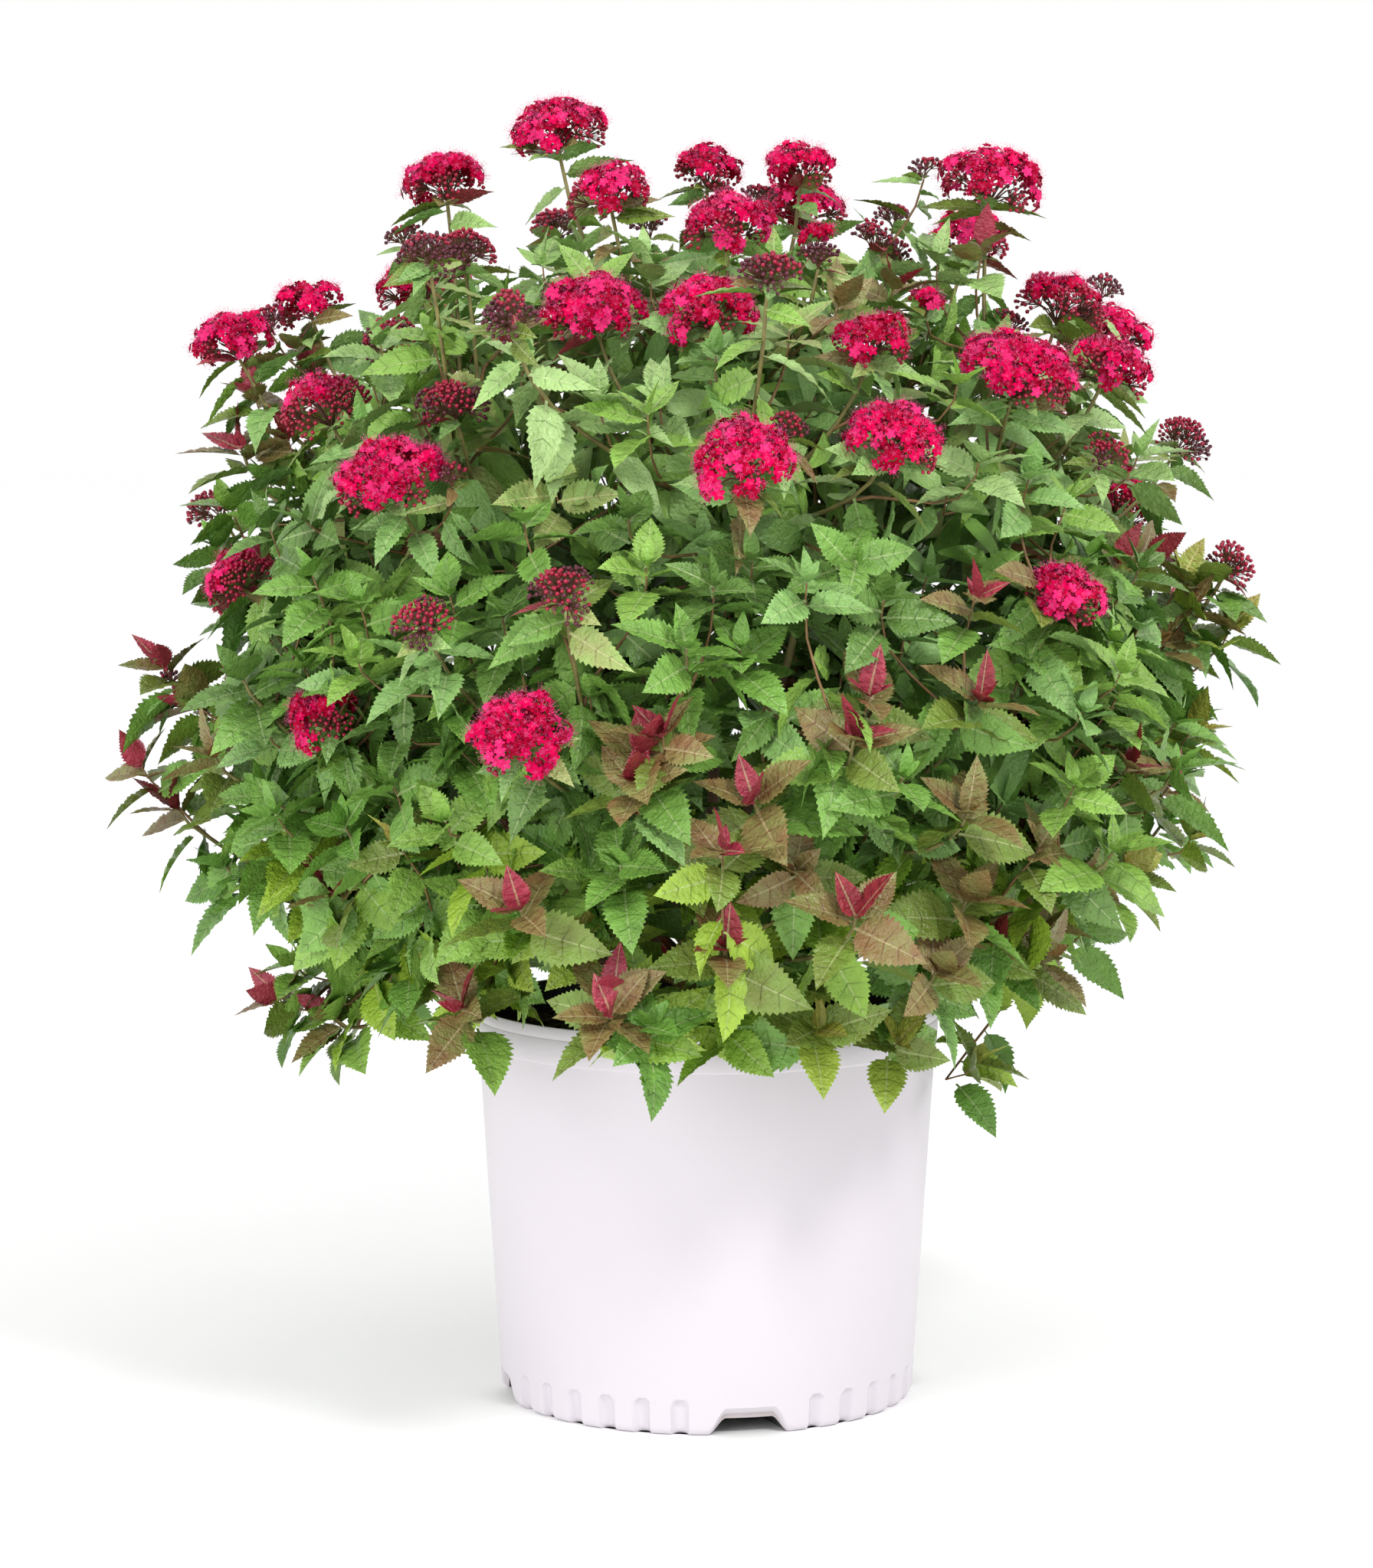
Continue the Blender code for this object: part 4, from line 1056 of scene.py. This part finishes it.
def merged(parts):
    points, faces, start = [], [], 0
    for some_points, some_faces in parts:
        points.append(some_points)
        faces.append(some_faces + start)
        start += len(some_points)
    return np.concatenate(points), np.concatenate(faces)


def facing(rows):
    """Upright frames for rows of (place, way), as (place, side, ahead, way) arrays."""
    rows = np.array(rows, float)
    way = unit(rows[:, 3:6])
    helper = np.where(np.abs(way[:, 2:3]) < 0.9, [[0.0, 0.0, 1.0]], [[1.0, 0.0, 0.0]])
    side = unit(np.cross(helper, way))
    return rows[:, 0:3], side, np.cross(way, side), way, rows[:, 6:]


def floret_shapes(rows):
    """The petals of many florets, and their stamens."""
    place, side, ahead, way, rest = facing(rows)
    radius, spin = rest[:, 0:1], rest[:, 1:2]

    def copies(spots, faces):
        """One shape for each floret, of spots that are so far out, round and up."""
        out, turn, rise = np.array(spots, float).T
        turn = turn + spin
        flat = side[:, None] * np.cos(turn)[..., None] + ahead[:, None] * np.sin(turn)[..., None]
        off = flat * out[None, :, None] + way[:, None] * rise[None, :, None]
        return joined(place[:, None] + off * radius[..., None], np.array(faces))

    spots, faces = [(0.0, 0.0, 0.0)], []
    for k in range(PETALS):
        middle, start = TURN * k / PETALS, len(spots)
        spots += [(reach, middle + swing, lift) for reach, swing, lift in PETAL_EDGE]
        faces += [(0, start, start + 1), (0, start + 1, start + 2), (0, start + 2, start + 3)]
    petals = copies(spots, faces)
    spots, faces = [], []
    for k in range(STAMENS):
        middle, start = TURN * (k + 0.5) / STAMENS, len(spots)
        long = STAMEN_LENGTH / FLORET_RADIUS * (0.8 + 0.4 * (k * 0.37 % 1))
        lean = (0.30 + 0.45 * (k * 0.618 % 1)) * long
        spots += [(0.10, middle - 0.5, 0.05), (0.10, middle + 0.5, 0.05)]
        spots.append((lean, middle, long * 0.86))
        for swing, lift in ((-ANTHER_SWING, 0.88), (0.0, 1.02), (ANTHER_SWING, 0.88)):
            spots.append((lean * (0.93 if swing else 1.0), middle + swing, long * lift))
        faces += [(start, start + 1, start + 2), (start + 3, start + 5, start + 4)]
    stamens = copies(spots, faces)
    return petals, stamens


def bud_shapes(rows):
    place, side, ahead, way, rest = facing(rows)
    golden = (1 + math.sqrt(5)) / 2
    corners = []
    for a in (-1, 1):
        for b in (-golden, golden):
            corners += [(0, a, b), (a, b, 0), (b, 0, a)]
    corners = unit(np.array(corners, float))
    gaps = np.linalg.norm(corners[:, None] - corners[None], axis=-1)
    edge = gaps[gaps > 0.01].min() * 1.01
    faces = []
    for a in range(12):
        for b in range(a + 1, 12):
            for c in range(b + 1, 12):
                if max(gaps[a, b], gaps[b, c], gaps[a, c]) < edge:
                    out = np.cross(corners[b] - corners[a], corners[c] - corners[a]) @ corners[a]
                    faces.append((a, b, c) if out > 0 else (a, c, b))
    basis = np.stack([side, ahead, way], axis=1)
    points = place[:, None] + np.einsum("pk,mkj->mpj", corners, basis) * rest[:, 0:1, None]
    return joined(points, np.array(faces))


def ring_faces(rows, columns):
    """The faces of a grid that closes round on itself, seen from outside, lowest row first."""
    row = np.arange(rows - 1)[:, None] * columns
    here = np.arange(columns)[None]
    after = (here + 1) % columns
    quads = [row + here, row + after, row + columns + after, row + columns + here]
    return faces_of_quads(np.stack(quads, axis=-1).reshape(-1, 4))


def tube_shape(points, radii, sides, closed=True):
    """A round tube along points, closed to a point at its end where that shows."""
    points = np.array([tuple(p) for p in points])
    ways = unit(np.gradient(points, axis=0))
    helper = np.array(Vector(ways.mean(axis=0)).orthogonal().normalized())
    side = unit(np.cross(ways, np.cross(helper, ways)))
    ahead = np.cross(ways, side)
    turns = TURN * np.arange(sides) / sides
    ring = side[:, None] * np.cos(turns)[None, :, None]
    ring = ring + ahead[:, None] * np.sin(turns)[None, :, None]
    verts = points[:, None] + ring * np.array(radii)[:, None, None]
    verts = np.concatenate([verts.reshape(-1, 3), points[-1:] + ways[-1:] * radii[-1] * 0.5])
    rows = len(points)
    faces = ring_faces(rows, sides)
    if not closed:
        return verts, faces
    last = (rows - 1) * sides
    cap = [(last + k, last + (k + 1) % sides, rows * sides) for k in range(sides)]
    return verts, np.concatenate([faces, np.array(cap)])


def material(
    name, colour, roughness=0.5, spread=0.15, scale=40.0, bump=0.15, bump_scale=600.0,
    depth=0.0005, other=None, **more,
):  # fmt: skip
    """A tint with soft mottling, between two colours where another is given, and a fine relief."""
    made = bpy.data.materials.new(name)
    made.use_nodes = True
    nodes, links = made.node_tree.nodes, made.node_tree.links
    shader = nodes["Principled BSDF"]
    shader.inputs["Roughness"].default_value = roughness
    for key, value in more.items():
        shader.inputs[key.replace("_", " ")].default_value = value
    where = nodes.new("ShaderNodeTexCoord")
    mottle = nodes.new("ShaderNodeTexNoise")
    mottle.inputs["Scale"].default_value = scale
    mottle.inputs["Detail"].default_value = 3.0
    ramp = nodes.new("ShaderNodeValToRGB")
    ramp.color_ramp.elements[0].position = 0.3
    ramp.color_ramp.elements[1].position = 0.7
    ramp.color_ramp.elements[0].color = (*[c * (1 - spread) for c in colour], 1)
    ramp.color_ramp.elements[1].color = (*[min(1, c * (1 + spread)) for c in other or colour], 1)
    links.new(where.outputs["Object"], mottle.inputs["Vector"])
    links.new(mottle.outputs["Fac"], ramp.inputs["Fac"])
    links.new(ramp.outputs["Color"], shader.inputs["Base Color"])
    if bump:
        grain = nodes.new("ShaderNodeTexNoise")
        grain.inputs["Scale"].default_value = bump_scale
        relief = nodes.new("ShaderNodeBump")
        relief.inputs["Strength"].default_value = bump
        relief.inputs["Distance"].default_value = depth
        links.new(where.outputs["Object"], grain.inputs["Vector"])
        links.new(grain.outputs["Fac"], relief.inputs["Height"])
        links.new(relief.outputs["Normal"], shader.inputs["Normal"])
    return made


def add_object(name, data):
    made = bpy.data.objects.new(name, data)
    bpy.context.scene.collection.objects.link(made)
    return made


def make_piece(name, shape, finishes, finish_of_face=None, smooth=True):
    """A joined mesh that rides with the plant."""
    points, faces = shape
    mesh = bpy.data.meshes.new(name)
    mesh.vertices.add(len(points))
    mesh.vertices.foreach_set("co", points.astype(np.float32).ravel())
    mesh.loops.add(faces.size)
    mesh.loops.foreach_set("vertex_index", faces.astype(np.int32).ravel())
    mesh.polygons.add(len(faces))
    mesh.polygons.foreach_set("loop_start", np.arange(len(faces), dtype=np.int32) * 3)
    mesh.update(calc_edges=True)
    mesh.validate()
    if smooth:
        mesh.shade_smooth()
    for finish in finishes:
        mesh.materials.append(finish)
    if finish_of_face is not None:
        mesh.polygons.foreach_set("material_index", finish_of_face.astype(np.int32))
    piece = add_object(name, mesh)
    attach(piece, "root")
    return piece


def make_leaves(growth):
    """The leaves with their ribs, one piece for each tint."""
    fine, coarse, (midrib, veins) = leaf_layout(), coarse_layout(), rib_layouts()
    pieces = []
    for tint, code in TINTS.items():
        parts, slots = [], []
        if tint in growth.coarse_leaves:
            parts.append(LeafShapes(growth.coarse_leaves[tint]).blades(coarse))
            slots.append(0)
        if tint in growth.leaves:
            shapes = LeafShapes(growth.leaves[tint])
            parts.append(shapes.blades(fine))
            slots.append(0)
            if tint not in NO_RIBS:
                parts += [shapes.ribs(midrib), shapes.ribs(veins)]
                slots += [1, 2]
        if not parts:
            continue
        blade = linear(code)
        paler = [b + (r - b) * RIB_SHARE for b, r in zip(blade, linear(RIB_TINT))]
        other = linear(MOTTLED[tint]) if tint in MOTTLED else None
        finishes = [material(f"leaf {tint}", blade, other=other, **LEAF_FINISH)]
        if 1 in slots:
            finishes.append(material(f"rib {tint}", paler, **LEAF_FINISH))
            # Side veins are darker than their blade: painted shade in the veins' grooves.
            painted_groove_shade = [b * VEIN_GROOVE_SHADE for b in blade]
            finishes.append(material(f"vein {tint}", painted_groove_shade, **LEAF_FINISH))
        of_face = np.repeat(slots, [len(faces) for _, faces in parts])
        pieces.append(make_piece(f"leaves_{tint}", merged(parts), finishes, of_face))
    return pieces


def make_heads(growth):
    stamens = []
    for tint, rows in growth.florets.items():
        petals, hairs = floret_shapes(rows)
        stamens.append(hairs)
        finish = material(
            f"petal {tint}", linear(PETAL_TINTS[tint]), roughness=0.7, bump=0.2,
            Specular_IOR_Level=0.06,
        )  # fmt: skip
        make_piece(f"petals_{tint}", petals, [finish])
    finish = material(
        "stamen", linear(STAMEN_TINT), roughness=0.6, bump=0, Specular_IOR_Level=0.15
    )
    make_piece("stamens", merged(stamens), [finish], smooth=False)
    for tone, rows in growth.buds.items():
        finish = material(f"bud {tone}", linear(BUD_TINTS[tone]), roughness=0.35, bump=0)
        make_piece(f"buds_{tone}", bud_shapes(rows), [finish])


def make_wood(growth):
    for kind, (sides, code) in WOOD_KINDS.items():
        closed = kind != "stalks"
        tubes = [tube_shape(points, radii, sides, closed) for points, radii in growth.wood[kind]]
        finish = material(f"{kind} bark", linear(code), roughness=0.6, spread=0.3, scale=120.0)
        make_piece(kind, merged(tubes), [finish])


def rough_tube(points, radii, sides, relief, scale):
    """A tube whose skin has the bark's relief."""
    verts, faces = tube_shape(points, radii, sides)
    rings = len(points)
    for ring in range(rings):
        middle = np.array(points[ring])
        for k in range(ring * sides, (ring + 1) * sides):
            ridge = noise.noise(Vector(verts[k]) * scale) * relief
            verts[k] = middle + (verts[k] - middle) * (1 + ridge / radii[ring])
    return verts, faces


def make_limbs(limbs):
    """The trunk and the boughs, with the bark's relief."""
    parts = []
    for way, reach in limbs:
        points = bough_points(way, reach, LIMB_PARTS)
        points[0] = points[0] - way * LIMB_SUNK
        steps = range(LIMB_PARTS + 1)
        radii = [BOUGH_BASE + (BOUGH_TIP - BOUGH_BASE) * k / LIMB_PARTS for k in steps]
        parts.append(rough_tube([tuple(p) for p in points], radii, LIMB_SIDES, *BOUGH_RELIEF))
    profile = [(TRUNK_FLARE * share, height) for share, height in FLARE_STEPS]
    for degrees in range(105, 0, -9):
        angle = math.radians(degrees)
        rise = TRUNK_RISE + TRUNK_RADIUS * math.cos(angle)
        profile.append((TRUNK_RADIUS * math.sin(angle), rise))
    points = [(0.0, 0.0, FOOT.z + height) for _, height in profile]
    radii = [radius for radius, _ in profile]
    parts.append(rough_tube(points, radii, TRUNK_SIDES, *TRUNK_RELIEF))
    finish = material(
        "woody bark", linear("5F452F"), roughness=0.8, spread=0.35, scale=90.0, bump=0.6,
        bump_scale=350.0,
    )  # fmt: skip
    return make_piece("trunk_and_boughs", merged(parts), [finish])


def notch_height(turn):
    """How far up the pot's foot is cut away at a turn, in radians from the front towards +X."""
    pitch = TURN / NOTCHES
    off = (turn - math.radians(NOTCH_TURN) + pitch / 2) % pitch - pitch / 2
    across = np.abs(off) * FOOT_RADIUS
    slope = (NOTCH_FOOT_WIDTH - NOTCH_TOP_WIDTH) / 2
    share = np.clip((NOTCH_FOOT_WIDTH / 2 - across) / slope, 0, 1)
    return share * share * (3 - 2 * share)


def channel_depth(turn, height):
    """How deep the arched channels bite into the wall."""
    pitch = TURN / NOTCHES
    off = (turn - math.radians(NOTCH_TURN)) % pitch
    depth = np.zeros(np.broadcast(turn, height).shape)
    for k in range(CHANNELS):
        middle = pitch / 2 + math.radians(CHANNEL_PITCH) * (k - (CHANNELS - 1) / 2)
        across = (off - middle) * FOOT_RADIUS / (CHANNEL_WIDTH / 2)
        over = np.maximum(0.0, height - (CHANNEL_HEIGHT - CHANNEL_WIDTH / 2)) / (CHANNEL_WIDTH / 2)
        left = np.maximum(0.0, 1 - across * across - over * over)
        depth = np.maximum(depth, CHANNEL_BITE * left**0.45)
    return depth * (1 - 0.35 * height / CHANNEL_HEIGHT)


def make_pot():
    """The pot with its lip, band, channels and drain notches: white outside and black inside, with
    painted shade at the notches: black in their recesses and under the pot, grey on their arches.
    """
    turn = TURN * np.arange(POT_COLUMNS) / POT_COLUMNS
    cut = notch_height(turn) * NOTCH_ARCH
    lining = notch_height(turn) * NOTCH_HEIGHT
    rows, shades = [], []

    def ring(radius, height, shade):
        radius, height = np.broadcast_to(radius, turn.shape), np.broadcast_to(height, turn.shape)
        rows.append(np.stack([radius * np.sin(turn), -radius * np.cos(turn), height], axis=-1))
        shades.append(shade)

    inner = FOOT_RADIUS - NOTCH_DEPTH
    bite = channel_depth(turn, 0.0)
    # The pot's underside and each notch's roof and end wall are painted black: painted shade under
    # the pot.
    ring(0.001, 0.0, BLACK)
    ring(inner - 0.0005, 0.0, BLACK)
    ring(inner, lining, BLACK)
    ring(FOOT_RADIUS - NOTCH_LINING, lining, BLACK)
    # The step up to each notch's arch is white plastic painted grey: painted shade inside the
    # notch.
    ring(FOOT_RADIUS - FOOT_RISE - bite, lining, GREY)
    for inward, rise in FOOT_CURVE:
        ring(FOOT_RADIUS - inward - bite, cut + rise, WHITE)
    top = CHANNEL_HEIGHT + 0.003
    for share in np.linspace(0, 1, 16):
        height = cut + FOOT_RISE + (top - cut - FOOT_RISE) * share
        ring(wall_radius(height) - channel_depth(turn, height), height, WHITE)
    band_foot, lip_foot = POT_HEIGHT - BAND_HEIGHT, POT_HEIGHT - LIP_HEIGHT
    for height in np.linspace(top, band_foot - 0.0008, 5)[1:]:
        ring(wall_radius(height), height, WHITE)
    inside = RIM_RADIUS - WALL - LIP_STEP
    for radius, height, shade in (
        (wall_radius(band_foot) + BAND_STEP * 0.7, band_foot - 0.0002, WHITE),
        (wall_radius(band_foot) + BAND_STEP, band_foot + 0.0007, WHITE),
        (wall_radius(lip_foot) + BAND_STEP, lip_foot - 0.0006, WHITE),
        (RIM_RADIUS - 0.0001, lip_foot + 0.0001, WHITE),
        (RIM_RADIUS, lip_foot + 0.0009, WHITE),
        (RIM_RADIUS, POT_HEIGHT - 0.0009, WHITE),
        (RIM_RADIUS - 0.0005, POT_HEIGHT - 0.0001, WHITE),
        (RIM_RADIUS - WALL * 0.6, POT_HEIGHT, WHITE),
        (inside, POT_HEIGHT - 0.0006, BLACK),
        (inside, lip_foot, BLACK),
        (wall_radius(band_foot) - WALL, band_foot, BLACK),
        (wall_radius(MIX_TOP) - WALL, MIX_TOP - 0.012, BLACK),
    ):
        ring(radius, height, shade)
    points = np.concatenate(rows)
    faces = ring_faces(len(rows), POT_COLUMNS)
    shade_of_pair = {(BLACK, GREY): BLACK, (GREY, WHITE): GREY}
    bands = [shade_of_pair.get(pair, max(pair)) for pair in zip(shades, shades[1:])]
    shade = np.tile(np.repeat(bands, POT_COLUMNS), 2)
    # grey: white plastic darkened as painted shade on the notches' arches
    grey = material(
        "white plastic painted with shade", linear("BDB4B4"), roughness=0.5, spread=0.08, scale=60.0, bump=0.2
    )
    white = material(
        "white plastic", linear("D7D1D8"), roughness=0.33, spread=0.012, scale=9.0, bump=0.05,
        bump_scale=500.0,
    )  # fmt: skip
    # black: the inside's plastic, and painted shade under the pot and in the notches
    black = material("black plastic", linear("17171A"), roughness=0.4, spread=0.1, bump=0.1)
    pot = make_piece("pot_shell", (points, faces), [white, black, grey], shade)
    pot.data.set_sharp_from_angle(angle=math.radians(38))
    return pot


def mix_lift(share):
    """How much higher the mix is than at its edge, at a share of its radius."""
    return MIX_CROWN * min(1.0, (1 - share) * MIX_RISE)


def make_mulch():
    """The top of the potting mix: a lumpy bed with loose bark chips on it."""
    edge = wall_radius(MIX_TOP) - WALL - 0.0008
    rows = []
    for k in range(BED_RINGS):
        share = 1 - k / (BED_RINGS - 1)
        radius = max(0.0008, edge * share)
        for column in range(BED_COLUMNS):
            turn = TURN * column / BED_COLUMNS
            spot = Vector((radius * math.sin(turn), -radius * math.cos(turn), MIX_TOP))
            lump = noise.noise(spot * 95) * 0.0022 + noise.noise(spot * 260) * 0.0012
            spot.z += mix_lift(share) + lump * min(1.0, (1 - share) * 8) - 0.001
            rows.append(tuple(spot))
    bed = (np.array(rows), ring_faces(BED_RINGS, BED_COLUMNS))
    rng = random.Random(SEED + 5)
    chips = []
    for _ in range(CHIPS):
        radius, turn = edge * 0.95 * math.sqrt(rng.random()), rng.uniform(0, TURN)
        height = MIX_TOP + mix_lift(radius / edge) + rng.uniform(0, 0.0015)
        middle = Vector((radius * math.sin(turn), -radius * math.cos(turn), height))
        way = Vector((rng.gauss(0, 1), rng.gauss(0, 1), rng.gauss(0, 0.25))).normalized()
        half = way * rng.uniform(0.003, 0.009)
        thick = rng.uniform(0.0008, 0.0022)
        points = (middle - half, middle, middle + half * 0.9)
        chips.append(tube_shape(points, (thick * 0.7, thick, thick * 0.5), 4))
    finish = material(
        "mulch", linear("35281F"), roughness=0.85, spread=0.5, scale=160.0, bump=0.7,
        bump_scale=420.0,
    )  # fmt: skip
    chip = material(
        "bark chips", linear("4A382B"), roughness=0.8, spread=0.5, scale=110.0, bump=0.5
    )
    parts = [bed, merged(chips)]
    of_face = np.repeat([0, 1], [len(faces) for _, faces in parts])
    finishes = [finish, chip]
    return make_piece("mulch", merged(parts), finishes, of_face, smooth=False)


def make_floor():
    """A plain pale floor, far wider than any view."""
    mesh = bpy.data.meshes.new("floor")
    far = FLOOR_REACH
    corners = [(-far, -far, 0), (far, -far, 0), (far, far, 0), (-far, far, 0)]
    mesh.from_pydata(corners, [], [(0, 1, 2, 3)])
    finish = material(
        "pale floor", (1.0, 1.0, 1.0), roughness=0.9, spread=0.005, scale=1.0, bump=0
    )
    mesh.materials.append(finish)
    floor = add_object("floor", mesh)


def make_light(name, place, size, power):
    data = bpy.data.lights.new(name, "AREA")
    data.shape = "DISK"
    data.size = size
    data.energy = power
    lamp = add_object(name, data)
    lamp.location = place
    aim = Vector((0.0, 0.0, LIT_HEIGHT)) - Vector(place)
    lamp.rotation_euler = aim.to_track_quat("-Z", "Y").to_euler()


def make_studio():
    world = bpy.data.worlds.new("studio")
    bpy.context.scene.world = world
    world.use_nodes = True
    sky = world.node_tree.nodes["Background"].inputs
    sky["Color"].default_value = (1.0, 1.0, 1.0, 1.0)
    sky["Strength"].default_value = 1.0
    for light in LIGHTS:
        make_light(*light)
    view = bpy.context.scene.view_settings
    view.view_transform = "Standard"
    view.look = "None"
    view.exposure = 0.0


def make_camera():
    """The photograph's view: level with the upper crown and tilted down a little."""
    data = bpy.data.cameras.new("camera")
    data.lens = LENS
    data.sensor_width = SENSOR
    data.clip_end = 100.0
    camera = add_object("camera", data)
    camera.location = (CAMERA_ACROSS, -EYE_DISTANCE, EYE_HEIGHT)
    camera.rotation_euler = (math.radians(90 - TILT), 0.0, 0.0)
    bpy.context.scene.camera = camera


def main():
    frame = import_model()
    growth = Growth()
    tips = shoot_tips()
    finer = fine_tips(tips)
    growth.keep_clear_of(tips + finer)
    names, ways = mass_ways(tips)
    limbs = []
    for own, name in enumerate(names):
        held = [tip for tip in tips if nearest((tip.place - HEART).normalized(), ways) == own]
        side = [tip for tip in finer if nearest((tip.place - HEART).normalized(), ways) == own]
        limbs.append(grow_mass(growth, name, Wedge(own, ways), held, side))
    leaves = make_leaves(growth)
    make_heads(growth)
    make_wood(growth)
    nodes = list(frame["nodes"])
    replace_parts(leaves[0], *[node for node in nodes if node.startswith("foliage")])
    limbs_piece = make_limbs(limbs)
    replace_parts(limbs_piece, *[node for node in nodes if node.startswith(("bough", "trunk"))])
    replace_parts(make_pot(), "pot")
    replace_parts(make_mulch(), "potting_mix")
    make_floor()
    make_studio()
    make_camera()
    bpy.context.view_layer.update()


main()
